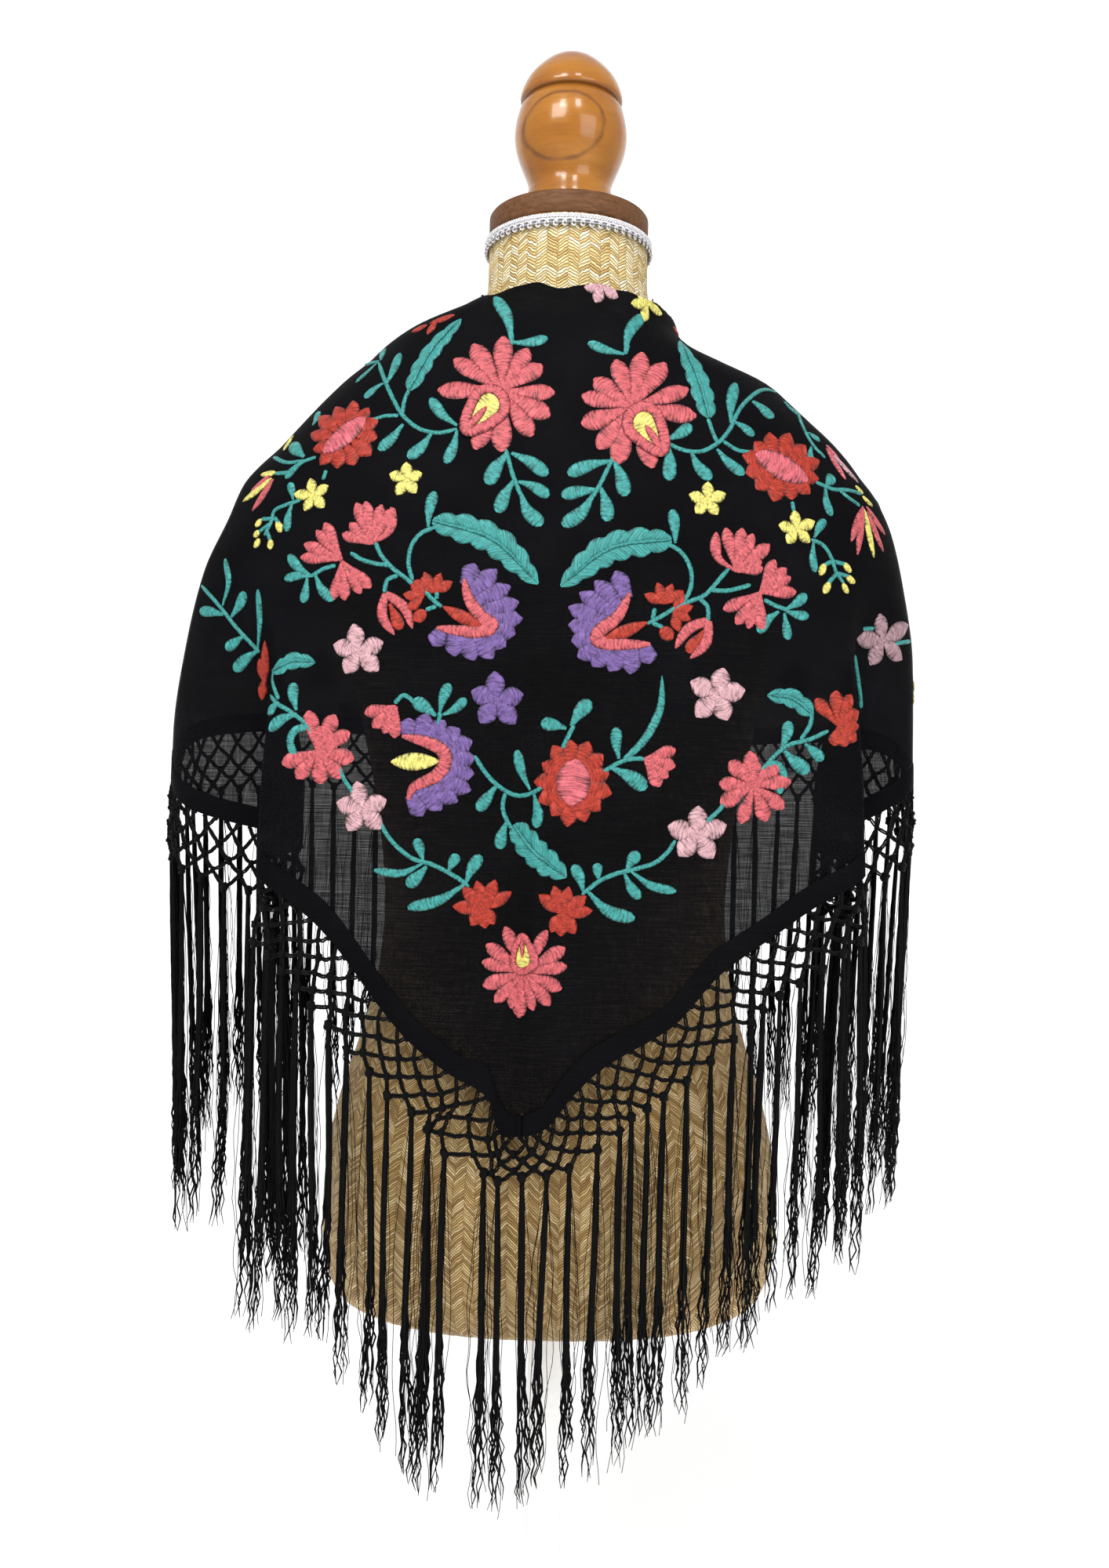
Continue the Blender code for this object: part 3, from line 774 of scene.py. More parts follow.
def add_stage():
    """A pale floor that curves up into a backdrop."""
    look = Look(
        "pale_backdrop",
        Roughness=0.9,
        Base_Color=(0.84, 0.84, 0.84, 1),
        Emission_Color=(1, 1, 1, 1),
        Emission_Strength=0.34,
        Specular_IOR_Level=0.1,
    )
    near, wall, bend, top, half_width, turns = -3.2, 1.4, 1.2, 4.5, 4.0, 12
    profile = [(near, 0.0), (wall, 0.0)]
    for k in range(1, turns + 1):
        angle = k * math.pi / (2 * turns)
        profile.append((wall + math.sin(angle) * bend, bend - math.cos(angle) * bend))
    profile.append((wall + bend, top))
    points = [(x, y, z) for x in (-half_width, half_width) for y, z in profile]
    count = len(profile)
    mesh = bpy.data.meshes.new("backdrop")
    mesh.from_pydata(points, [], [(k, count + k, count + k + 1, k + 1) for k in range(count - 1)])
    mesh.shade_smooth()
    mesh.materials.append(look.material)
    obj = placed("backdrop", mesh)


def add_area(name, place, target, size, power):
    data = bpy.data.lights.new(name, "AREA")
    data.shape = "RECTANGLE"
    data.size, data.size_y = size
    data.energy = power
    obj = placed(name, data)
    obj.location = place
    obj.rotation_euler = (Vector(target) - Vector(place)).to_track_quat("-Z", "Y").to_euler()


def add_lights():
    world = bpy.data.worlds.new("studio")
    bpy.context.scene.world = world
    world.use_nodes = True
    background = world.node_tree.nodes["Background"]
    background.inputs["Color"].default_value = (1.0, 1.0, 1.0, 1)
    background.inputs["Strength"].default_value = 0.62
    add_area("key", (-0.9, -1.9, 2.2), (0, 0, 0.75), (1.1, 1.1), 34)
    add_area("fill", (1.2, -1.8, 1.3), (0, 0, 0.7), (1.2, 1.4), 15)
    for name, x in (("window_left", -0.36), ("window_right", 0.28)):
        add_area(name, (x, -1.05, 2.05), (0, 0, 1.05), (0.22, 0.30), 3.2)
    settings = bpy.context.scene.view_settings
    settings.view_transform = "Standard"
    settings.look = "None"


# The cloth


ROW_CROWDING = 1.15
ROLL_HEIGHT = 0.0035
ROLL_STANDS_OUT = 0.0014


def cloth_shares(count):
    """Even columns, with more of them where the cloth folds."""
    weights = [0.0]
    steps = 1400
    deep_folds = [(middle, 1.8 * half) for middle, half, out in FOLDS if abs(out) > 0.01]
    for k in range(steps):
        angle = (-1 + 2 * (k + 0.5) / steps) * CORNER_ANGLE
        near = sum(math.exp(-(((angle - middle) / reach) ** 2)) for middle, reach in deep_folds)
        weights.append(weights[-1] + 1.0 + 1.3 * min(1.0, near))
    shares, i = [], 0
    for k in range(count):
        want = weights[-1] * k / (count - 1)
        while i < steps - 1 and weights[i + 1] < want:
            i += 1
        t = (want - weights[i]) / (weights[i + 1] - weights[i])
        shares.append(-1 + 2 * (i + t) / steps)
    return shares


def grid_uvs(rows):
    """U in metres round the middle row, V in metres of height."""
    around = [0.0]
    middle = rows[len(rows) // 2]
    for a, b in zip(middle, middle[1:]):
        around.append(around[-1] + (b - a).length)
    return [(around[i], point.z) for row in rows for i, point in enumerate(row)]


def sheet_object(name, rows, wall, material):
    """A cloth surface with a wall, and a tree for finding places on its outer face."""
    points = [p for row in rows for p in row]
    faces = grid_faces(0, len(rows), len(rows[0]))
    obj = new_object(name, points, faces, [material], grid_uvs(rows))
    thick = obj.modifiers.new("wall", "SOLIDIFY")
    thick.thickness = wall
    thick.offset = -1.0
    return obj, BVHTree.FromPolygons(points, faces)


def away_from_axis(point):
    return Vector((point.x, point.y, 0)).normalized()


def top_height(share):
    """The long edge's height, a little wavy."""
    wave = 0.0009 * math.sin(31 * share) + 0.0006 * math.sin(57 * share + 1)
    return along(NECK_EDGE, abs(share)) + wave


def panel_rows(shares, count):
    """The cloth from the rolled long edge down to the hem's seam."""
    rows = []
    seams = [seam_height(s) for s in shares]
    tops = [top_height(s) for s in shares]
    for i in range(count + 1):
        way = (i / count) ** ROW_CROWDING
        row = []
        for share, top, seam in zip(shares, tops, seams):
            height = top + (seam - top) * way
            point = cloth_at(share, height)
            roll = ROLL_STANDS_OUT * math.exp(-(((top - height) / ROLL_HEIGHT) ** 2))
            row.append(point + away_from_axis(point) * roll)
        rows.append(row)
    return rows


add_camera()
add_stage()
add_lights()

voile = cloth_material("black_voile", (0.0034, 0.0034, 0.0042), sheer=(0.09, 0.30))
hem_cloth = cloth_material("black_hem", (0.0026, 0.0026, 0.0034))
rayon = fringe_material("black_rayon")

shares = cloth_shares(300)
shawl, cloth_tree = sheet_object("shawl", panel_rows(shares, 78), CLOTH_WALL, voile)
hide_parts("shawl_cloth")


def hem_piece(name, columns):
    """The turned hem: a band under the seam, with a rounded lower edge."""
    rows = []
    for way, out in ((0.0, 0.0), (0.04, 0.0005), (0.5, 0.0005), (0.93, 0.0005), (1.0, 0.0)):
        row = []
        for share in columns:
            seam, edge = seam_height(share), hem_height(share)
            point = cloth_at(share, seam + (edge - seam) * way)
            row.append(point + away_from_axis(point) * out)
        rows.append(row)
    obj, _ = sheet_object(name, rows, HEM_WALL, hem_cloth)
    return obj


tip = TIP_ANGLE / CORNER_ANGLE
hems = [
    hem_piece("turned_hem_left", [s for s in shares if s < tip - 0.003] + [tip - 0.0008]),
    hem_piece("turned_hem_right", [tip + 0.0008] + [s for s in shares if s > tip + 0.003]),
]
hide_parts("hem_left")
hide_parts("hem_right")


# Embroidery

# Half width of a stitched shape along its length: (share of the length, share of the half width)
PETAL = ((0.0, 0.24), (0.25, 0.46), (0.5, 0.78), (0.70, 1.0), (0.84, 0.90), (0.94, 0.58), (1.0, 0.20))
POINTED = ((0.0, 0.18), (0.2, 0.50), (0.42, 0.92), (0.58, 1.0), (0.76, 0.84), (0.91, 0.46), (1.0, 0.10))
FLAME = ((0.0, 0.60), (0.45, 0.90), (0.62, 1.0), (0.78, 0.84), (0.92, 0.46), (1.0, 0.12))
BROAD = ((0.0, 0.30), (0.06, 0.66), (0.25, 0.96), (0.55, 1.0), (0.78, 0.80), (0.93, 0.46), (1.0, 0.12))
LEAF = ((0.0, 0.16), (0.12, 0.48), (0.35, 0.90), (0.55, 1.0), (0.78, 0.76), (0.92, 0.42), (1.0, 0.12))
DROP = ((0.0, 0.26), (0.25, 0.52), (0.55, 0.92), (0.75, 1.0), (0.9, 0.82), (0.97, 0.58), (1.0, 0.34))
OVAL = ((0.0, 0.15), (0.08, 0.50), (0.25, 0.85), (0.5, 1.0), (0.75, 0.85), (0.92, 0.50), (1.0, 0.15))
BAND = ((0.0, 0.55), (0.06, 1.0), (0.94, 1.0), (1.0, 0.55))
SHARP = ((0.0, 0.55), (0.15, 0.85), (0.5, 1.0), (0.8, 0.72), (0.95, 0.35), (1.0, 0.12))
SHARP_BOTH = ((0.0, 0.25), (0.10, 0.62), (0.35, 0.95), (0.5, 1.0), (0.65, 0.95), (0.90, 0.62), (1.0, 0.25))
PUFF = 0.0008
OVERLAP = 0.00012
LOWEST = 0.00012
METRES_PER_PIXEL = 0.000479
THREADS = [thread_material("thread_" + name, colour) for name, colour in THREAD_COLOURS]
teal, coral, red, pink, purple, yellow, rose, dusty = range(len(THREAD_COLOURS))
stitched = Shapes()
VIEW = camera_matrix()
MIDDLE_X, MIDDLE_Y = PICTURE_WIDTH / 2, PICTURE_HEIGHT / 2
CHEST_Y = 620
INWARDS = 0.006


def seen(x, y):
    """The point of the cloth that shows at a pixel, or at the nearest one towards the middle of the chest."""
    for step in range(60):
        px = x + (MIDDLE_X - x) * INWARDS * step
        py = y + (CHEST_Y - y) * INWARDS * step
        aim = Vector(((px - MIDDLE_X) / FOCAL_PIXELS, -(py - MIDDLE_Y) / FOCAL_PIXELS, -1.0))
        aim = (VIEW.to_3x3() @ aim).normalized()
        place = cloth_tree.ray_cast(CAMERA_PLACE, aim)[0]
        if place:
            return place
    return cloth_tree.find_nearest(Vector((0, -0.1, 0.7)))[0]


def outward(point):
    """The cloth's own point under a point, and its outward normal."""
    return cloth_tree.find_nearest(point)[:2]


class Spot:
    """A place on the cloth with its own right and up, in metres along the surface."""

    def __init__(self, centre):
        self.centre, self.normal = outward(centre)
        up = Vector((0, 0, 1))
        self.up = (up - self.normal * up.dot(self.normal)).normalized()
        self.right = self.up.cross(self.normal)

    def at(self, a, b):
        return outward(self.centre + self.right * a + self.up * b)[0]


class Seen:
    """A place on the cloth by its pixel, with right and up measured as the camera sees them."""

    def __init__(self, x, y):
        self.x, self.y = x, y

    def at(self, a, b):
        return seen(self.x + a / METRES_PER_PIXEL, self.y - b / METRES_PER_PIXEL)


def satin(points, half_widths, colour, split=False, puff=PUFF, raised=0.0, cells=6):
    """A raised shape of satin stitches along a line of points on the cloth."""
    start = len(stitched.points)
    count = len(points)
    length = 0.0
    shift = chance.random() * 0.05
    for i, point in enumerate(points):
        place, normal = outward(point)
        ahead = points[min(i + 1, count - 1)] - points[max(i - 1, 0)]
        ahead = (ahead - normal * ahead.dot(normal)).normalized()
        across = normal.cross(ahead)
        if i:
            length += (point - points[i - 1]).length
        t = i / (count - 1)
        ends = min(1.0, 0.30 + min(t, 1 - t) * 8)
        for j in range(cells + 1):
            v = -1 + 2 * j / cells
            on, up = outward(point + across * (v * half_widths[i]))
            crown = (1 - abs(v) ** 3.2) ** 0.5
            if split:
                crown = (1 - abs(abs(v) - 0.5) * 2) ** 0.5 if abs(v) < 1 else 0.0
                crown = max(crown, 0.25 * (1 - abs(v)))
            height = LOWEST + raised + puff * ends * crown
            stitched.points.append(on + up * height)
            slant = abs(v) * half_widths[i] * (0.9 if split else 0.15)
            across_halves = abs(abs(v) - 0.5) * 1.9 if split else v
            stitched.uvs.append((length + slant + shift, across_halves))
    faces = grid_faces(start, count, cells + 1)
    stitched.faces += faces
    stitched.slots += [colour] * len(faces)


def one_layer(points):
    """The longest run of points without a jump: a jump is where a line leaves one layer of a fold."""
    steps = [(b - a).length for a, b in zip(points, points[1:])]
    longest = 3.0 * sorted(steps)[len(steps) // 2] + 0.003
    runs = [[points[0]]]
    for step, point in zip(steps, points[1:]):
        if step > longest:
            runs.append([])
        runs[-1].append(point)
    return max(runs, key=len)


def shaped(points, width, profile, colour, **more):
    points = one_layer(points)
    count = len(points)
    if count < 4:
        return
    halves = [along(profile, i / (count - 1)) * width / 2 for i in range(count)]
    satin(points, halves, colour, **more)


def on_cloth(flat):
    return [seen(p.x, p.y) for p in flat]


def bowed(x0, y0, x1, y1, bend, count):
    """Pixels on a line between two; bend is its sideways bow as a share of its length."""
    a, b = Vector((x0, y0, 0)), Vector((x1, y1, 0))
    side = Vector((-(b - a).y, (b - a).x, 0)) * bend
    return spline([a, a.lerp(b, 0.5) + side, b] if bend else [a, b], count)


def leaf(x0, y0, x1, y1, width, bend=0.0, colour=teal, profile=DROP, **more):
    """A leaf or petal between two pixels, its width in mm."""
    shaped(on_cloth(bowed(x0, y0, x1, y1, bend, 12)), width / 1000, profile, colour, **more)


def stem(pixels, width=3.0, profile=BAND):
    """A stitched line through pixels, its width in mm."""
    flat = spline([Vector((x, y, 0)) for x, y in pixels], max(8, 6 * len(pixels)))
    shaped(on_cloth(flat), width / 1000, profile, teal, cells=4)


def petal(spot, a, b, angle, length, width, colour, bend=0.0, profile=PETAL, count=11, **more):
    """A petal on a spot, from (a, b) towards an angle in degrees, turning by bend degrees."""
    points = []
    x, y = a, b
    for i in range(count):
        points.append(spot.at(x, y))
        turn = math.radians(angle + bend * (i / (count - 1) - 0.5))
        x += math.cos(turn) * length / (count - 1)
        y += math.sin(turn) * length / (count - 1)
    shaped(points, width, profile, colour, **more)


def five_petals(spot, radius, turn, colour):
    for k in range(5):
        angle = turn + 72 * k + 4 * math.sin(2.1 * k + turn)
        reach = radius * (1 + 0.06 * math.sin(1.9 * k + turn))
        petal(spot, 0, 0, angle, reach, radius * 0.72, colour, profile=POINTED, raised=0.0001 * (k % 2))


def fan(x, y, count, first, step, reach, width, colour, axis=0.0, stretch=0.0, profile=PETAL, start=0.0):
    """Petals round a pixel, one every step degrees; their reach and width are in mm, they begin at the
    start, also in mm, and they are longer by the stretch towards the axis."""
    spot = Seen(x, y)
    for k in range(count):
        angle = first + step * k + 3.0 * math.sin(2.3 * k + first)
        turn = math.radians(angle)
        longer = stretch * math.cos(math.radians(angle - axis)) + 0.04 * math.sin(1.9 * k + 1)
        length = (reach * (1 + longer) - start) / 1000
        thick = width * (1 + 0.06 * math.sin(2.7 * k)) / 1000
        a, b = start * math.cos(turn) / 1000, start * math.sin(turn) / 1000
        petal(spot, a, b, angle, length, thick, colour, profile=profile, raised=OVERLAP * (k % 2))


def teardrop(spot, a, b, angle, length, width, rim, fill, mark):
    """A teardrop whose rim is one satin band, filled with another colour and a small tongue."""
    turn = math.radians(angle)
    ahead = (math.cos(turn), math.sin(turn))
    across = (-ahead[1], ahead[0])
    round_end = width / 2
    band = width * 0.27
    count = 44
    points = []
    for k in range(count + 1):
        way = math.tau * k / count
        forward = -math.cos(way)
        reach = forward * round_end if forward < 0 else forward * (length - round_end)
        sideways = math.sin(way) * round_end * (1 - 0.32 * max(0.0, forward))
        inset = 1 - band / width
        x = (ahead[0] * reach + across[0] * sideways) * inset
        y = (ahead[1] * reach + across[1] * sideways) * inset
        points.append(spot.at(a + x, b + y))

    def inner(start, long, wide, colour, **more):
        petal(spot, a + ahead[0] * start, b + ahead[1] * start, angle, long, wide, colour, **more)

    long = length - band * 1.6
    inner(band * 0.5 - round_end, long, width - band, fill, profile=BROAD, raised=0.0008, cells=8)
    satin(points, [band / 2] * len(points), rim, raised=0.0016, puff=0.0013)
    tongue = length * 0.46
    inner(length - round_end - band - tongue, tongue, width * 0.20, mark, profile=OVAL, raised=0.0021)


def eye_flower(x, y, first, step, long_way, eye_angle, size):
    """A large flower of eleven petals with a teardrop eye where the fan of petals is open; size in mm."""
    fan(x, y, 11, first, step, size * 1.03, size * 0.39, coral, long_way, 0.12, start=size * 0.03)
    size /= 1000
    away = math.radians(eye_angle)
    a, b = 0.36 * size * math.cos(away), 0.36 * size * math.sin(away)
    teardrop(Seen(x, y), a, b, eye_angle, size * 1.24, size * 0.80, coral, yellow, coral)


def oval_flower(x, y, turn, half_long, half_wide, count, outer_long, outer_wide):
    """Red petals round a rose oval whose long axis is at an angle."""
    spot = Seen(x, y)
    axis = math.radians(turn)

    def place(way, scale_long, scale_wide):
        p, q = math.cos(way) * scale_long, math.sin(way) * scale_wide
        return p * math.cos(axis) - q * math.sin(axis), p * math.sin(axis) + q * math.cos(axis)

    middle = (half_long + half_wide + 1.2 * (outer_long + outer_wide)) / 4.4
    width = math.tau * middle / count * 1.32
    for k in range(count):
        way = math.tau * k / count + 0.2
        a, b = place(way, half_long * 0.45, half_wide * 0.45)
        uneven = 1 + 0.05 * math.sin(2.3 * k)
        c, d = place(way, outer_long * uneven, outer_wide * uneven)
        aim = math.degrees(math.atan2(d - b, c - a))
        length = math.hypot(c - a, d - b)
        petal(spot, a, b, aim, length, width, red, profile=POINTED, raised=OVERLAP * (k % 2))
    a, b = -half_long * math.cos(axis), -half_long * math.sin(axis)
    oval = {"profile": OVAL, "count": 14, "raised": 0.0009, "cells": 8}
    petal(spot, a, b, turn, half_long * 2, half_wide * 2, rose, **oval)


def fan_flower(arms, centre, first, last, near, far, drop, drop_width, drop_colour):
    """Purple petals that fan out behind a bent coral band round a drop; the outer ones reach farther."""
    steps = 40
    count = 11
    flat = spline([Vector((x, y, 0)) for x, y in arms], steps + 1)
    for k in range(count):
        share = k / (count - 1)
        angle = math.radians(first + (last - first) * share)
        reach = near + (far - near) * (2 * share - 1) ** 2 + 2.5 * math.sin(2.0 * k)
        end = (centre[0] + math.cos(angle) * reach, centre[1] - math.sin(angle) * reach)
        root = flat[round(steps * (0.06 + 0.88 * share))]
        leaf(root.x, root.y, *end, 12.2, 0.0, purple, FLAME, raised=OVERLAP * (k % 2))
    shaped(on_cloth(flat), 0.0088, SHARP_BOTH, coral, raised=0.0009, cells=5)
    leaf(*drop, drop_width, 0.0, drop_colour, LEAF, raised=0.0008)


def lobed_leaf(x0, y0, x1, y1, width, bend, lobes):
    """A broad leaf of two stitched halves with a scalloped edge and a raised rib; its width is in mm."""
    count = 60
    rib_count = 54
    points = on_cloth(bowed(x0, y0, x1, y1, bend, count))
    halves = []
    for i in range(count):
        t = i / (count - 1)
        scallop = 1 - 0.27 * (1 - abs(math.sin(math.pi * lobes * t)) ** 0.75)
        halves.append(along(BROAD, t) * scallop * width / 2000)
    satin(points, halves, teal, split=True, cells=12)
    shaped(points[:rib_count], 0.0024, SHARP, teal, raised=0.0009, cells=3)


# Flower and leaf places, as pixels of the picture: (from x, from y, to x, to y, width in mm, bow)
LEAVES = (
    (652, 436, 631, 379, 8.5, 0.10),
    (651, 437, 698, 431, 7.5, 0.06),
    (797, 449, 820, 402, 8.5, -0.12),
    (796, 452, 750, 437, 7.5, -0.04),
    (648, 577, 622, 618, 10.0, 0.06),
    (652, 578, 698, 606, 9.0, -0.06),
    (655, 613, 635, 654, 9.0, 0.05),
    (661, 614, 700, 633, 8.0, -0.06),
    (664, 630, 692, 669, 9.5, 0.12),
    (783, 587, 797, 633, 9.5, -0.05),
    (778, 588, 724, 605, 9.0, 0.05),
    (766, 622, 775, 665, 9.0, -0.06),
    (764, 625, 716, 632, 8.5, 0.04),
    (757, 630, 717, 670, 9.5, -0.10),
    (583, 543, 549, 508, 7.5, -0.08),
    (583, 549, 568, 591, 7.5, -0.05),
    (550, 553, 520, 584, 8.5, -0.06),
    (514, 541, 483, 574, 8.5, -0.04),
    (489, 489, 465, 508, 7.0, 0.05),
    (492, 491, 509, 451, 7.5, 0.04),
    (483, 462, 454, 488, 4.5, 0.0),
    (484, 461, 464, 466, 5.0, 0.0),
    (486, 460, 489, 446, 6.0, 0.0),
    (399, 543, 405, 526, 6.5, 0.1),
    (388, 583, 372, 566, 9.0, -0.05),
    (389, 588, 364, 610, 6.5, 0.05),
    (374, 638, 369, 616, 6.0, 0.05),
    (373, 642, 366, 678, 6.5, 0.06),
    (850, 561, 881, 542, 8.0, 0.06),
    (851, 565, 853, 613, 9.0, -0.04),
    (881, 577, 907, 611, 8.5, 0.08),
    (914, 573, 949, 605, 8.0, 0.05),
    (932, 540, 938, 489, 8.0, -0.06),
    (935, 538, 961, 556, 7.0, -0.06),
    (959, 512, 985, 534, 10.5, -0.05),
    (999, 512, 1020, 530, 6.5, 0.06),
    (1029, 552, 1045, 562, 6.5, 0.0),
    (1034, 570, 1035, 596, 7.0, 0.05),
    (1053, 620, 1062, 607, 8.0, 0.0),
    (1052, 622, 1060, 658, 7.0, 0.06),
    (1038, 686, 1052, 663, 6.5, -0.05),
    (1037, 690, 1039, 730, 6.0, 0.04),
    (546, 672, 554, 627, 7.5, -0.05),
    (861, 693, 857, 650, 7.5, 0.03),
    (396, 734, 368, 708, 7.0, -0.08),
    (398, 735, 363, 738, 6.5, 0.06),
    (392, 737, 387, 769, 6.5, 0.0),
    (402, 733, 425, 766, 7.0, 0.10),
    (1002, 777, 1028, 758, 7.0, 0.06),
    (1001, 779, 1031, 786, 6.5, 0.05),
    (1000, 782, 1005, 816, 6.5, 0.0),
    (993, 780, 967, 807, 7.5, 0.08),
    (378, 906, 374, 871, 7.5, -0.06),
    (354, 896, 335, 917, 7.5, 0.0),
    (379, 911, 343, 931, 8.0, 0.10),
    (539, 1098, 530, 1070, 7.0, 0.05),
    (544, 1105, 519, 1130, 8.5, -0.03),
    (572, 1112, 584, 1090, 7.0, -0.05),
    (594, 1126, 613, 1091, 8.0, -0.05),
    (543, 1099, 477, 1110, 5.5, -0.14),
    (594, 1127, 520, 1158, 7.5, -0.08),
    (744, 1138, 731, 1103, 7.5, 0.05),
    (764, 1123, 762, 1101, 6.5, -0.05),
    (799, 1111, 814, 1087, 8.0, -0.05),
    (796, 1114, 816, 1146, 7.0, 0.06),
    (803, 1110, 862, 1137, 6.0, 0.10),
    (750, 1138, 809, 1172, 8.5, 0.12),
    (633, 1002, 609, 1034, 8.0, 0.0),
    (676, 1008, 659, 957, 7.0, -0.05),
    (681, 1013, 684, 1056, 8.0, -0.06),
    (646, 1048, 637, 1083, 8.0, 0.05),
    (728, 926, 753, 894, 9.5, -0.05),
    (722, 929, 690, 922, 8.5, 0.03),
    (789, 968, 786, 928, 7.5, -0.04),
    (781, 980, 824, 1006, 10.0, -0.05),
    (996, 955, 1006, 920, 8.0, 0.05),
    (1000, 958, 1031, 985, 9.5, 0.03),
    (1026, 949, 1049, 970, 7.5, -0.03),
    (561, 908, 573, 872, 7.5, -0.05),
    (564, 912, 594, 891, 6.5, 0.08),
    (556, 913, 527, 893, 9.0, 0.03),
    (284, 773, 287, 713, 5.5, 0.10),
    (285, 784, 255, 779, 7.5, 0.03),
    (295, 787, 312, 755, 8.0, 0.05),
    (329, 829, 329, 752, 5.5, 0.03),
    (311, 811, 288, 828, 7.5, 0.0),
    (329, 830, 299, 856, 8.5, 0.06),
)

# Stems: runs of pixels
STEMS = (
    ((653, 440), (652, 425), (647, 408)),
    ((797, 452), (801, 440)),
    ((645, 573), (652, 600), (660, 622), (668, 638)),
    ((782, 582), (770, 608), (758, 630), (745, 645)),
    ((583, 547), (560, 552), (535, 547), (513, 529), (497, 500), (487, 475), (483, 463)),
    ((513, 528), (516, 510), (523, 495)),
    ((508, 530), (490, 531), (471, 537)),
    ((403, 583), (385, 590), (368, 602), (350, 604)),
    ((388, 588), (365, 590), (349, 583)),
    ((416, 600), (412, 612)),
    ((383, 638), (362, 645), (350, 652), (345, 668), (337, 683)),
    ((350, 662), (334, 662)),
    ((344, 668), (330, 679)),
    ((340, 676), (345, 690)),
    ((350, 660), (356, 668)),
    (
        (848, 563),
        (868, 573),
        (893, 576),
        (915, 565),
        (930, 548),
        (943, 522),
        (960, 504),
        (975, 497),
        (992, 501),
    ),
    ((903, 534), (908, 550), (914, 563)),
    ((922, 563), (940, 574), (957, 577)),
    ((1017, 528), (1026, 550), (1038, 570), (1052, 584)),
    ((1040, 615), (1062, 624), (1080, 625), (1098, 630)),
    ((1070, 625), (1083, 636), (1096, 645)),
    ((1010, 640), (1012, 652)),
    ((1034, 688), (1050, 696), (1060, 712), (1066, 730), (1076, 744)),
    ((1061, 716), (1049, 722)),
    ((1062, 716), (1078, 720)),
    ((1067, 731), (1083, 736)),
    ((1067, 731), (1056, 744)),
    ((555, 672), (536, 681), (524, 698), (521, 720), (526, 740)),
    ((478, 690), (486, 708), (500, 724), (518, 738), (530, 748)),
    ((447, 705), (462, 714), (480, 719), (497, 721)),
    ((507, 734), (494, 740), (490, 756)),
    ((428, 721), (412, 726), (397, 735)),
    ((541, 752), (550, 763), (563, 774)),
    ((557, 752), (557, 764)),
    ((543, 778), (556, 773)),
    ((850, 693), (868, 704), (880, 724), (881, 748), (872, 768)),
    ((930, 724), (918, 738), (900, 758), (880, 767), (862, 775), (845, 785), (825, 796)),
    ((906, 753), (930, 753), (957, 746)),
    ((892, 764), (902, 774), (903, 792)),
    ((835, 776), (832, 790)),
    ((845, 800), (832, 795)),
    ((974, 765), (990, 773), (1006, 779)),
    ((338, 876), (352, 896), (371, 908), (390, 924), (402, 941)),
    ((355, 892), (348, 870), (350, 852)),
    ((432, 978), (440, 996), (451, 1011)),
    ((483, 1046), (498, 1071), (524, 1094), (552, 1103), (582, 1119), (598, 1131)),
    ((742, 1141), (764, 1124), (787, 1114), (812, 1108), (836, 1100), (852, 1086), (861, 1072)),
    ((901, 1048), (918, 1032), (928, 1016)),
    ((968, 987), (984, 968), (1004, 951), (1033, 943), (1056, 932)),
    ((1021, 944), (1033, 924), (1035, 908)),
    ((605, 964), (620, 987), (640, 1006), (662, 1015), (685, 1008), (700, 992)),
    ((644, 1012), (641, 1030), (648, 1050), (659, 1064)),
    ((717, 955), (724, 940), (732, 925)),
    ((767, 986), (787, 974), (805, 968), (822, 968)),
    ((559, 927), (561, 908)),
    ((529, 896), (515, 887), (503, 897)),
    ((257, 747), (279, 772), (302, 801), (331, 832)),
    ((1100, 802), (1114, 802)),
    ((1141, 821), (1160, 818)),
    ((1086, 812), (1091, 845), (1096, 880), (1098, 903)),
)

# Broad lobed leaves: (base x, base y, tip x, tip y, width in mm, bow, lobes)
LOBED = (
    (522, 498, 588, 407, 15.5, -0.06, 5),
    (904, 533, 867, 435, 16.5, 0.04, 5),
    (552, 664, 686, 745, 20.0, -0.12, 6),
    (856, 688, 715, 748, 20.0, 0.13, 6),
    (655, 1052, 722, 1119, 19.5, 0.06, 5),
    (348, 856, 402, 845, 11.5, -0.14, 3),
    (1036, 911, 978, 887, 12.5, 0.14, 3),
)

# Berries and small buds: (from x, from y, to x, to y, width in mm, thread)
BERRIES = (
    (334, 662, 326, 672, 5.5, yellow),
    (331, 677, 324, 685, 5.5, yellow),
    (331, 687, 325, 699, 5.5, yellow),
    (345, 688, 345, 701, 5.5, yellow),
    (353, 665, 359, 679, 5.5, yellow),
    (1052, 719, 1045, 734, 5.5, yellow),
    (1075, 718, 1085, 730, 5.5, yellow),
    (1078, 735, 1090, 743, 5.5, yellow),
    (1058, 743, 1050, 757, 5.5, yellow),
    (1074, 744, 1081, 757, 5.5, yellow),
    (1099, 633, 1112, 646, 4.5, yellow),
    (1090, 620, 1100, 630, 4.0, yellow),
    (352, 603, 333, 606, 5.0, yellow),
    (362, 575, 374, 556, 5.0, yellow),
    (543, 779, 527, 792, 8.5, red),
    (842, 801, 858, 815, 9.0, red),
)


# Large flowers: (x, y, turn of the first petal, step, long way, way of the eye, size in mm)
EYE_FLOWERS = (
    (640, 499, -117, 29.5, -145, -131, 33.5),
    (806, 520, -73, -29.5, -35, -56, 33.5),
)

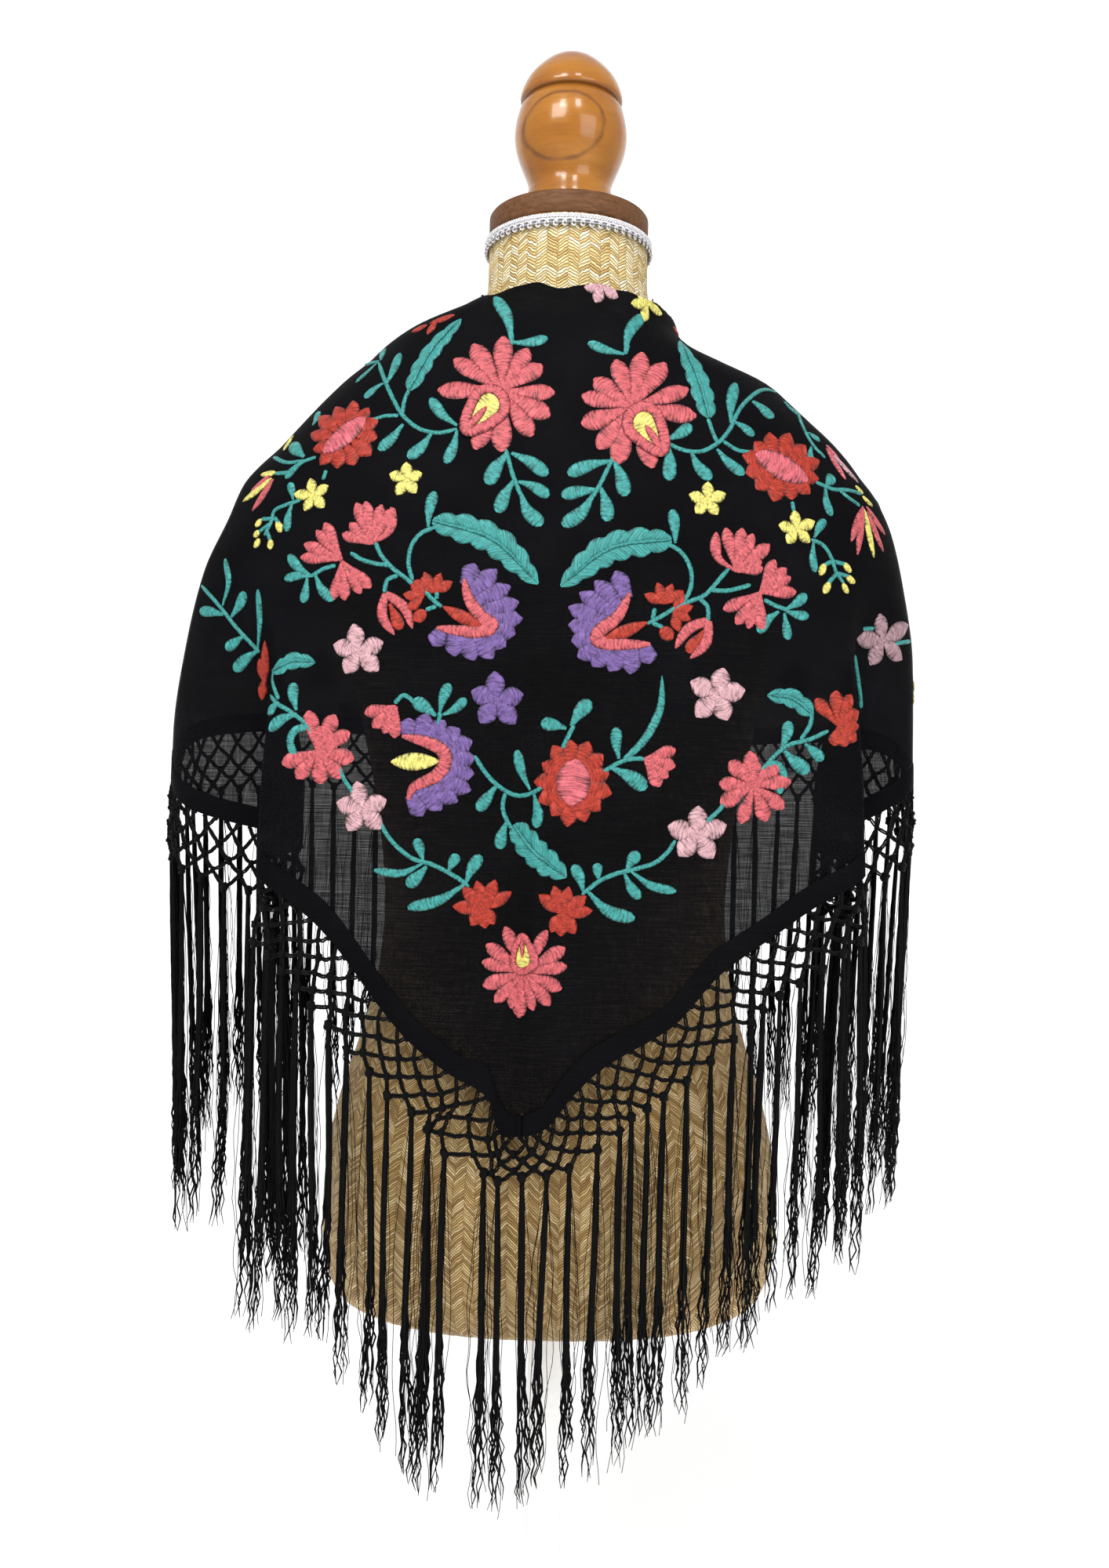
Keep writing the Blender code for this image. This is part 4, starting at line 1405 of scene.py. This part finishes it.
# Flowers round an oval: (x, y, turn, half length, half width, petals, the petals' half length and width)
OVAL_FLOWERS = (
    (440, 556, 40, 0.0165, 0.0088, 12, 0.0225, 0.0190),
    (996, 596, -27, 0.0178, 0.0094, 12, 0.0240, 0.0205),
    (731, 998, 84, 0.0142, 0.0108, 13, 0.0262, 0.0232),
)

# Flowers of five petals: (x, y, radius, turn, thread)
STARS = (
    (518, 611, 0.0108, 92, yellow),
    (399, 632, 0.0108, 100, yellow),
    (902, 638, 0.0112, 88, yellow),
    (1016, 675, 0.0112, 95, yellow),
    (825, 388, 0.0105, 110, yellow),
    (457, 831, 0.0162, 96, pink),
    (914, 886, 0.0178, 80, pink),
    (461, 1032, 0.0162, 96, pink),
    (889, 1065, 0.0178, 88, pink),
    (1126, 817, 0.0172, 100, dusty),
    (633, 894, 0.0172, 90, purple),
    (768, 366, 0.0112, 250, pink),
)

# Purple flowers: (the coral band, centre, first and last turn, least and most reach, drop, its width, thread)
FAN_FLOWERS = (
    (
        ((592, 739), (597, 762), (612, 785), (628, 799), (604, 806), (557, 801)),
        (615, 788),
        98,
        -150,
        48,
        70,
        (565, 774, 617, 802),
        8.5,
        red,
    ),
    (
        ((829, 822), (795, 822), (763, 818), (766, 804), (788, 786), (803, 757)),
        (776, 800),
        -42,
        -277,
        52,
        70,
        (825, 794, 769, 817),
        8.5,
        red,
    ),
    (
        ((513, 939), (542, 946), (563, 956), (568, 972), (556, 990), (528, 1004), (521, 1020)),
        (552, 974),
        118,
        -101,
        55,
        66,
        (560, 971, 499, 972),
        11.2,
        yellow,
    ),
)

# Tulips and broken flowers: (fan or leaf, then what the function asks for)
TULIPS = (
    (fan, 473, 694, 4, 112, -18, 24.5, 8.8, coral, 90, 0.06),
    (fan, 473, 694, 2, 160, -22, 18, 7.5, coral),
    (leaf, 474, 694, 499, 647, 7.5, 0.22, coral, PETAL),
    (fan, 436, 714, 4, 176, -21, 23.5, 8.2, coral, 150, 0.05),
    (fan, 436, 716, 4, -104, 21, 22.5, 8, coral, -60, 0.06),
    (fan, 938, 729, 4, 104, -21, 25, 8.8, coral, 90, 0.06),
    (fan, 938, 729, 2, 24, -20, 16.5, 7.5, coral),
    (leaf, 938, 729, 913, 679, 7.5, -0.22, coral, PETAL),
    (fan, 969, 756, 4, 66, -21, 20.5, 8.2, coral, 20, 0.06),
    (fan, 969, 756, 4, -152, 22, 23, 8.2, coral, -130, 0.05),
    (leaf, 491, 757, 503, 810, 6.8, 0.18, coral, SHARP),
    (leaf, 492, 757, 526, 802, 6.8, -0.14, coral, SHARP),
    (leaf, 497, 770, 511, 803, 8, 0.0, red, DROP),
    (leaf, 903, 791, 861, 827, 7.2, 0.14, coral, SHARP),
    (leaf, 904, 792, 880, 840, 7.2, -0.16, coral, SHARP),
    (leaf, 898, 804, 876, 832, 8, 0.0, red, DROP),
    (fan, 552, 756, 4, 150, -40, 13.5, 7, red, 0.0, 0.0, POINTED),
    (fan, 540, 762, 4, 215, -42, 12.5, 6.8, red, 0.0, 0.0, POINTED),
    (fan, 848, 770, 4, 152, -40, 13.5, 7, red, 0.0, 0.0, POINTED),
    (fan, 858, 780, 4, 60, -44, 12.5, 6.8, red, 0.0, 0.0, POINTED),
    (fan, 405, 958, 8, 104, -38, 22.8, 10.2, coral, 90, 0.08),
    (fan, 405, 955, 3, 84, -36, 13.5, 8.5, coral),
    (fan, 961, 1002, 9, 98, 38, 22.2, 10.2, coral, -90, 0.08),
    (fan, 961, 1000, 3, 120, -36, 14, 8.5, coral),
    (fan, 505, 901, 4, -165, 25, 19, 8.5, coral),
    (fan, 822, 968, 4, 14, -26, 19, 8.5, coral),
    (fan, 618, 1160, 5, 172, -34, 19, 8.8, red, 0.0, 0.0, POINTED),
    (fan, 616, 1156, 3, -120, 32, 13.5, 8.8, red, 0.0, 0.0, POINTED),
    (fan, 717, 1166, 5, 142, -34, 18, 8.8, red, 0.0, 0.0, POINTED),
    (fan, 717, 1164, 3, -60, -32, 14.5, 9.2, red, 0.0, 0.0, POINTED),
    (fan, 1068, 925, 5, 128, -32, 20, 9.2, red, 60, 0.06),
    (fan, 1070, 925, 3, -40, -34, 13.5, 9.2, red),
)

# The flower over the point: its centre, its lowest petal and the place of its eye
POINT_FLOWER = (668, 1240)
LOWEST_PETAL = (666, 1246, 662, 1298)
POINT_EYE = (668, 1226)

# Thick stems: (pixels, width in mm, profile)
THICK_STEMS = (
    (((393, 926), (376, 932), (370, 946), (376, 966)), 5.0, BAND),
    (((976, 975), (992, 976), (1000, 992), (992, 1012)), 5.2, BAND),
    (((796, 969), (818, 948), (833, 925), (843, 898), (844, 862)), 5.4, SHARP),
)

# Slim petals of the flowers at the folds: (from x, from y, to x, to y, thread)
SLIM_PETALS = (
    (338, 875, 338, 817, red),
    (337, 870, 331, 840, red),
    (336, 866, 334, 893, red),
    (346, 606, 320, 628, coral),
    (347, 610, 310, 640, yellow),
    (349, 611, 322, 652, coral),
    (1100, 646, 1085, 691, coral),
    (1101, 648, 1093, 708, coral),
    (1102, 650, 1114, 711, yellow),
    (1104, 646, 1128, 682, coral),
    (1105, 652, 1126, 704, coral),
    (1053, 572, 1078, 612, rose),
    (1060, 578, 1094, 616, pink),
    (1053, 568, 1070, 588, rose),
    (548, 413, 580, 402, red),
    (545, 415, 525, 424, red),
    (556, 410, 545, 427, red),
    (858, 418, 868, 432, red),
)
SLIM_WIDTH = 6.6


def embroider_back():
    """The flowers that the picture shows; each flower stands on a pixel of it."""
    for row in LEAVES:
        leaf(*row)
    for run in STEMS:
        stem(run)
    for row in LOBED:
        lobed_leaf(*row)
    for *ends, width, colour in BERRIES:
        leaf(*ends, width, 0.0, colour, OVAL)
    for row in EYE_FLOWERS:
        eye_flower(*row)
    for row in OVAL_FLOWERS:
        oval_flower(*row)
    for x, y, radius, turn, colour in STARS:
        five_petals(Seen(x, y), radius, turn, colour)
    for row in FAN_FLOWERS:
        fan_flower(*row)
    for make, *facts in TULIPS:
        make(*facts)
    fan(*POINT_FLOWER, 12, 113, 28.0, 26.8, 9, coral, 90, 0.10)
    leaf(*LOWEST_PETAL, 10.5, 0.0, coral, PETAL, raised=0.0003)
    teardrop(Seen(*POINT_EYE), 0, 0.0005, 90, 0.0290, 0.0180, coral, yellow, coral)
    for row in THICK_STEMS:
        stem(*row)
    for *ends, colour in SLIM_PETALS:
        leaf(*ends, SLIM_WIDTH, 0.0, colour, LEAF)


def place_on(angle, height):
    return Spot(cloth_point(angle, height))


# Vines of the front: places by angle and height, and their leaves by angle, height and turn, and sizes
VINES = (
    (
        ((84, 0.86), (92, 0.82), (104, 0.80), (116, 0.815), (126, 0.80), (134, 0.765)),
        ((88, 0.838, 140), (98, 0.806, 250), (108, 0.803, 60), (121, 0.812, 240), (130, 0.785, 30)),
        0.022,
        0.009,
    ),
    (
        ((122, 0.70), (132, 0.655), (143, 0.60), (152, 0.55), (157, 0.51)),
        ((126, 0.685, 30), (133, 0.650, 200), (140, 0.62, 50), (147, 0.578, 200), (153, 0.548, 40)),
        0.020,
        0.008,
    ),
)


def embroider_front():
    """The fronts and sides that the picture doesn't show get flowers of the same kinds."""
    for side in (-1, 1):
        for angle, height, turn in ((100, 0.845, 60), (128, 0.86, 80)):
            spot = place_on(side * angle, height)
            for k in range(9):
                petal(spot, 0, 0, turn + 40 * k, 0.022, 0.010, red)
            petal(spot, -0.009, -0.002, 15, 0.018, 0.012, rose, profile=OVAL, raised=0.0007)
        for angle, height, colour in (
            (112, 0.79, yellow),
            (143, 0.90, yellow),
            (120, 0.735, pink),
            (150, 0.60, pink),
            (147, 0.80, purple),
            (88, 0.72, yellow),
        ):
            five_petals(place_on(side * angle, height), 0.0155 if colour != yellow else 0.012, 90, colour)
        for angle, height in ((138, 0.745), (152, 0.68), (96, 0.775)):
            spot = place_on(side * angle, height)
            for turn in (90, 55, 125, 20, 160):
                petal(spot, 0, 0, turn, 0.022 if turn == 90 else 0.018, 0.008, coral)
            petal(spot, 0, 0, -90, 0.034, 0.003, teal, profile=BAND, bend=30)
            for turn, down in ((-150, -0.010), (-30, -0.018), (-160, -0.026)):
                petal(spot, 0.0015, down, turn, 0.018, 0.0075, teal, profile=DROP)
        for line, leaves, length, width in VINES:
            path = [place_on(side * angle, height).centre for angle, height in line]
            shaped(spline(path, 60), 0.003, BAND, teal, cells=4)
            for angle, height, turn in leaves:
                petal(place_on(side * angle, height), 0, 0, turn, length, width, teal, profile=DROP)


embroider_back()
embroider_front()
embroidery = stitched.make("embroidery", THREADS)


# Fringe


class HemLine:
    """The hem's lower edge by its length from the point: negative lengths run to -X."""

    def __init__(self, end):
        steps = 900
        self.lengths, self.points = [0.0], []
        for k in range(steps + 1):
            share = tip + (end - tip) * k / steps
            point = cloth_at(share, hem_height(share))
            if self.points:
                self.lengths.append(self.lengths[-1] + (point - self.points[-1]).length)
            self.points.append(point)
        self.total = self.lengths[-1]

    def at(self, length):
        length = min(max(length, 0.0), self.total - 1e-6)
        low, high = 0, len(self.lengths) - 1
        while high - low > 1:
            middle = (low + high) // 2
            if self.lengths[middle] <= length:
                low = middle
            else:
                high = middle
        t = (length - self.lengths[low]) / max(1e-9, self.lengths[high] - self.lengths[low])
        return self.points[low].lerp(self.points[high], t)


ROUND_THE_POINT = 0.035
HALVES = {-1: HemLine(-1.0), 1: HemLine(1.0)}


def hem_at(length):
    return HALVES[1].at(length) if length > 0 else HALVES[-1].at(-length)


def flat_distance(a, b):
    return math.hypot(b.x - a.x, b.y - a.y)


def hang(length, share):
    """A point of the net below the hem: share is 0 at the hem and 1 at the last row of knots.
    The net hangs square to the hem's slope, so it fans out round the point."""
    side = 1 if length > 0 else -1
    far = abs(length)
    reach = 0.022
    a, b = hem_at(length - reach), hem_at(length + reach)
    run = max(flat_distance(a, b), 1e-6)
    slope = math.atan2(abs(b.z - a.z), run)
    here = hem_at(length)
    angle = abs(math.degrees(math.atan2(here.x, -here.y)))
    at_side = smooth_step(60, 72, angle)
    tilt = min(slope, 0.90) * min(1.0, far / (0.040 if side < 0 else 0.030)) ** 0.8 * (1 - 0.55 * at_side)
    depth = NET_DEPTH * share * (0.76 + 0.24 * smooth_step(0, ROUND_THE_POINT, far)) * (1 + 0.25 * at_side)
    if far > ROUND_THE_POINT:
        tilt *= 1 - 0.8 * smooth_step(0.95, 1.25, slope)
    there = hem_at(length + side * depth * math.sin(tilt) * 2 * reach / max(run, 0.016))
    a, b = hem_at(length - 0.006), hem_at(length + 0.006)
    facing = Vector((b.y - a.y, a.x - b.x, 0)).normalized()
    return Vector((there.x, there.y, here.z - depth * math.cos(tilt))) - facing * 0.0007, facing


PITCH_AT_POINT, PITCH = 0.0098, 0.0158


def lock_lengths():
    """Where the locks' threads leave the hem: closer together round the point."""
    right, left = [0.0015], [-0.0100]
    for side, line in ((1, right), (-1, left)):
        while abs(line[-1]) < HALVES[side].total - 0.012:
            pitch = PITCH_AT_POINT + (PITCH - PITCH_AT_POINT) * smooth_step(0.016, 0.045, abs(line[-1]))
            line.append(line[-1] + side * pitch)
    return left, right


LEFT_LOCKS, RIGHT_LOCKS = lock_lengths()
LOCKS = LEFT_LOCKS[::-1] + RIGHT_LOCKS
FIRST_RIGHT = len(LEFT_LOCKS)
NET_ROWS = (0.17, 0.38, 0.58, 0.79, 1.0)
LAST_ROW = len(NET_ROWS) - 1
SEAM_KNOT, FIRST_KNOT, LAST_KNOT = 0.0013, 0.0018, 0.0030
KNOT_SIZES = (0.0021, 0.0026)
CORD, CORD_AT_HEM, CORD_PARTING = 0.00086, 0.0008, 0.00066
THREAD, LOOSE_THREAD, THINNEST = 0.00092, 0.00024, 0.00018


def between_locks(k):
    """The hem length at a lock's number, which may be half way between two."""
    low = max(0, min(len(LOCKS) - 2, int(math.floor(k))))
    return LOCKS[low] + (LOCKS[low + 1] - LOCKS[low]) * (k - low)


def half_way(row):
    """Rows of knots lie in turn below the locks' threads and half way between them."""
    return 0.0 if (LAST_ROW - row) % 2 == 0 else 0.5


def net_knots():
    """Every knot of the net: odd rows lie half way between the locks."""
    knots = []
    for r, share in enumerate(NET_ROWS):
        row = {}
        for k in range(len(LOCKS)):
            number = k + half_way(r)
            if number > len(LOCKS) - 1:
                continue
            point, facing = hang(between_locks(number), share)
            point += facing * chance.uniform(-0.0010, 0.0012)
            point += Vector((chance.uniform(-0.0012, 0.0012), 0, chance.uniform(-0.0013, 0.0010)))
            row[k] = point
        knots.append(row)
    return knots


KNOTS = net_knots()


def build_fringe(name, chosen, replaced):
    """The net below the chosen locks and the locks themselves."""
    out = Shapes()

    def cord(a, b, thick=CORD):
        """Two threads side by side, a little slack."""
        sag = Vector((0, 0, -chance.uniform(0.0002, 0.0016)))
        aside = (b - a).cross(Vector((0, -1, 0)))
        aside = aside.normalized() if aside.length > 1e-6 else Vector((1, 0, 0))
        for turn in (-1, 1):
            middle = a.lerp(b, 0.5) + sag + aside * turn * CORD_PARTING + Vector((0, turn * 0.0003, 0))
            near_a = a.lerp(middle, 0.6) + aside * turn * 0.0003
            near_b = b.lerp(middle, 0.6) + aside * turn * 0.0003
            out.tube([a, near_a, middle, near_b, b], [thick] * 5, 4)

    def knot(point, size):
        tilt = Vector((chance.uniform(-0.5, 0.5), chance.uniform(-0.4, 0.4), 1)).normalized()
        path = [point + tilt * (size * 1.1 * f) for f in (1, 0.62, 0.0, -0.62, -1.05)]
        out.tube(path, [size * r * chance.uniform(0.86, 1.12) for r in (0.40, 0.95, 0.90, 1.0, 0.45)], 6)

    for k in chosen:
        for r in range(LAST_ROW + 1):
            if k not in KNOTS[r]:
                continue
            here = KNOTS[r][k]
            size = LAST_KNOT if r == LAST_ROW else FIRST_KNOT if r == 0 else chance.uniform(*KNOT_SIZES)
            knot(here, size)
            if r == 0:
                for shift in (-0.27, 0.27):
                    number = k + half_way(r) + shift
                    length = between_locks(max(0.0, min(len(LOCKS) - 1.0, number)))
                    start = hang(length, 0.0)[0] + Vector((0, 0, 0.0012))
                    cord(start, here, CORD_AT_HEM)
                    knot(start - Vector((0, 0, 0.0014)), SEAM_KNOT)
            else:
                above = (k, k + 1) if half_way(r) else (k - 1, k)
                for j in above:
                    if j in KNOTS[r - 1]:
                        cord(KNOTS[r - 1][j], here)
    for k in chosen:
        top = KNOTS[LAST_ROW][k]
        angle = math.degrees(math.atan2(top.x, -top.y))
        facing = hang(LOCKS[k], 1.0)[1]
        side = Vector((-facing.y, facing.x, 0))
        end_height = along(LOCK_ENDS, angle) + 0.005 * math.sin(2.4 * k) + chance.uniform(-0.006, 0.007)
        length = top.z - end_height
        lean = Vector((facing.x, 0, 0)) * (-LOCK_LEAN_INWARDS)
        lean += side * chance.uniform(-0.014, 0.014) + facing * chance.uniform(-0.008, 0.006)
        lock(out, top, length, lean, side, facing)
    obj = out.make(name, [rayon])
    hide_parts(replaced)
    return obj


def lock(out, top, length, lean, side, facing):
    """One lock: threads that leave the last knot together and part towards their crinkled ends."""
    sway_phase = chance.uniform(0, 6.28)
    sway = chance.uniform(0.0006, 0.0026)
    full = chance.uniform(0.88, 1.15)
    count, full_length, steps = 9, 3, 27
    for s in range(count):
        turn = math.tau * s / count + chance.uniform(-0.3, 0.3)
        reach = length * (1.0 if s < full_length else chance.uniform(0.84, 1.0))
        spread = chance.uniform(0.75, 1.1) * full
        wave = chance.uniform(0, 6.28)
        rate = chance.uniform(240, 460)
        path, radii = [], []
        for i in range(steps + 1):
            t = i / steps
            fall = reach * t
            open_up = 0.0008 + 0.0006 * smooth_step(0.02, 0.22, t) + 0.0024 * smooth_step(0.50, 1.0, t)
            crinkle = 0.0001 + 0.0013 * smooth_step(0.50, 0.95, t)
            drift = side * (sway * math.sin(t * 5 + sway_phase) * t)
            twist = turn + 1.4 * t
            at = top + lean * fall - Vector((0, 0, fall)) + drift
            beat = rate * fall
            at += side * (math.cos(twist) * open_up * spread + crinkle * math.sin(beat + wave))
            at += facing * (math.sin(twist) * open_up * spread * 0.7 + crinkle * math.cos(beat * 0.83 + wave))
            path.append(at)
            body = THREAD * (1 - 0.42 * smooth_step(0.35, 1.0, t))
            bead = 1 + 0.30 * smooth_step(0.45, 0.8, t) * math.sin(rate * 1.9 * fall + wave)
            radii.append(max(THINNEST, body * bead * (1 - 0.75 * smooth_step(0.95, 1.0, t))))
        out.tube(path, radii, 3)
    loose, steps = 5, 22
    for _ in range(loose):
        reach = length * chance.uniform(0.78, 1.03)
        wave, rate = chance.uniform(0, 6.28), chance.uniform(60, 190)
        away = chance.uniform(-0.0065, 0.0065)
        path = []
        for i in range(steps + 1):
            t = i / steps
            fall = reach * t
            at = top + lean * fall - Vector((0, 0, fall))
            bow = away * (math.sin(math.pi * min(1, t * 1.1)) + t)
            at += side * (bow + 0.0016 * t * math.sin(rate * fall + wave))
            at += facing * (0.0018 * t * math.cos(rate * fall * 0.9 + wave))
            path.append(at)
        out.tube(path, [LOOSE_THREAD] * (steps + 1), 3)


fringes = [
    build_fringe("knotted_fringe_left", range(FIRST_RIGHT), "fringe_left"),
    build_fringe("knotted_fringe_right", range(FIRST_RIGHT, len(LOCKS)), "fringe_right"),
]


# The dress form


BODY_STRIPS, NECK_STRIPS = 56, 24
NECK_BEGINS = 0.955
GROOVE_DEPTH = 0.0007


def straw_torso():
    """The torso with the ridges of its plaited strips; there are more strips round the body."""
    around = 7 * BODY_STRIPS
    heights = []
    z = FORM_SECTIONS[0][0]
    while z < NECK_TOP:
        heights.append(z)
        z += 0.0016 if z < 0.32 else 0.0055 if z < 0.9 else 0.0035
    heights.append(NECK_TOP)
    points, uvs, faces, slots = [], [], [], []
    for height in heights:
        strips = BODY_STRIPS if height < NECK_BEGINS else NECK_STRIPS
        for k in range(around + 1):
            angle = 360 * k / around - 180
            point = form_point(angle, height)
            u = strips * k / around
            inside = abs(u - math.floor(u) - 0.5) * 2
            point -= away_from_axis(point) * (GROOVE_DEPTH * inside**4)
            points.append(point)
            uvs.append((u, height))
    row = around + 1
    for j in range(len(heights) - 1):
        for k in range(around):
            a = j * row + k
            faces.append((a, a + 1, a + row + 1, a + row))
            slots.append(1 if heights[j] >= NECK_BEGINS - 0.001 else 0)
    body_tones = (0.330, 0.185, 0.058), (0.620, 0.400, 0.150), (0.940, 0.730, 0.400)
    body = straw_material("straw_braid", body_tones, 560.0, 7.0, 1.35)
    neck_tones = (0.520, 0.320, 0.090), (0.900, 0.700, 0.320), (0.980, 0.930, 0.720)
    neck = straw_material("straw_neck", neck_tones, 470.0, 4.2, 1.0)
    obj = new_object("straw_torso", points, faces, [body, neck], uvs, slots)
    closing = bmesh.new()
    closing.from_mesh(obj.data)
    bmesh.ops.remove_doubles(closing, verts=closing.verts, dist=0.00002)
    bmesh.ops.holes_fill(closing, edges=[e for e in closing.edges if e.is_boundary], sides=0)
    bmesh.ops.recalc_face_normals(closing, faces=closing.faces)
    closing.to_mesh(obj.data)
    closing.free()
    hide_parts("form_torso")


def turned(name, profile, segments, material):
    """A smooth turned piece from a (radius, height) profile."""
    points, uvs = [], []
    for radius, height in profile:
        for k in range(segments):
            points.append(on_plan(360 * k / segments, radius, height))
            uvs.append((k / segments, height))
    faces = closed_ring_faces(0, len(profile), segments)
    obj = new_object(name, points, faces, [material], uvs)
    obj.data.set_sharp_from_angle(angle=math.radians(50))
    return obj


def smooth_profile(profile, count):
    flat = spline([Vector((r, z, 0)) for r, z in profile], count)
    return [(p.x, p.y) for p in flat]


straw_torso()
knob_profile = smooth_profile(FINIAL, 70) + smooth_profile(FINIAL_CAP, 50)[1:]
knob = turned("turned_finial", knob_profile, 96, varnished_material())
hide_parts("finial")
plate = turned("stained_plate", NECK_PLATE, 96, plate_material())
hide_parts("neck_plate")


def gimp():
    """White scroll braid on a narrow tape: a plaited edge above and a row of curls below."""
    out = Shapes()
    radius = 0.0563
    middle = (BRAID_FROM + BRAID_TO) / 2
    half = (BRAID_TO - BRAID_FROM) / 2
    curls = 60
    steps = curls * 14

    def ring(wiggle, turns, rise, swing, out_by, thick):
        """A cord that goes round the neck once, by its wave up and down, waves a curl, height and swing."""
        path = []
        for k in range(steps + 1):
            way = k / steps
            turn = math.tau * curls * way * turns
            angle = 360 * way + swing * math.sin(turn)
            height = middle + half * rise + half * wiggle * math.cos(turn)
            path.append(on_plan(angle, radius + out_by + 0.0004 * math.sin(turn * 2), height))
        out.tube(path, [thick] * len(path), 5)

    tape = [on_plan(3 * k, radius - 0.0002, middle) for k in range(121)]
    out.tube(tape, [half * 0.80] * len(tape), 6, flat=0.10, slot=1)
    for row in (
        (0.20, 1.5, 0.58, 0.0, 0.0012, 0.00078),
        (-0.20, 1.5, 0.58, 0.0, 0.0012, 0.00078),
        (0.0, 1.0, 0.18, 0.0, 0.0006, 0.00060),
        (0.50, 1.0, -0.36, 2.6, 0.0012, 0.00074),
    ):
        ring(*row)
    # the tape is the white braid darkened to 0.42: painted shade behind the curls
    obj = out.make("scroll_braid", [braid_material("white_gimp", 1.0), braid_material("shaded_gimp_tape", 0.42)])
    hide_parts("neck_braid")


gimp()
paint = painted_material()
for name in ("stand_pole", "stand_base"):
    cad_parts[name].data.materials.clear()
    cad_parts[name].data.materials.append(paint)
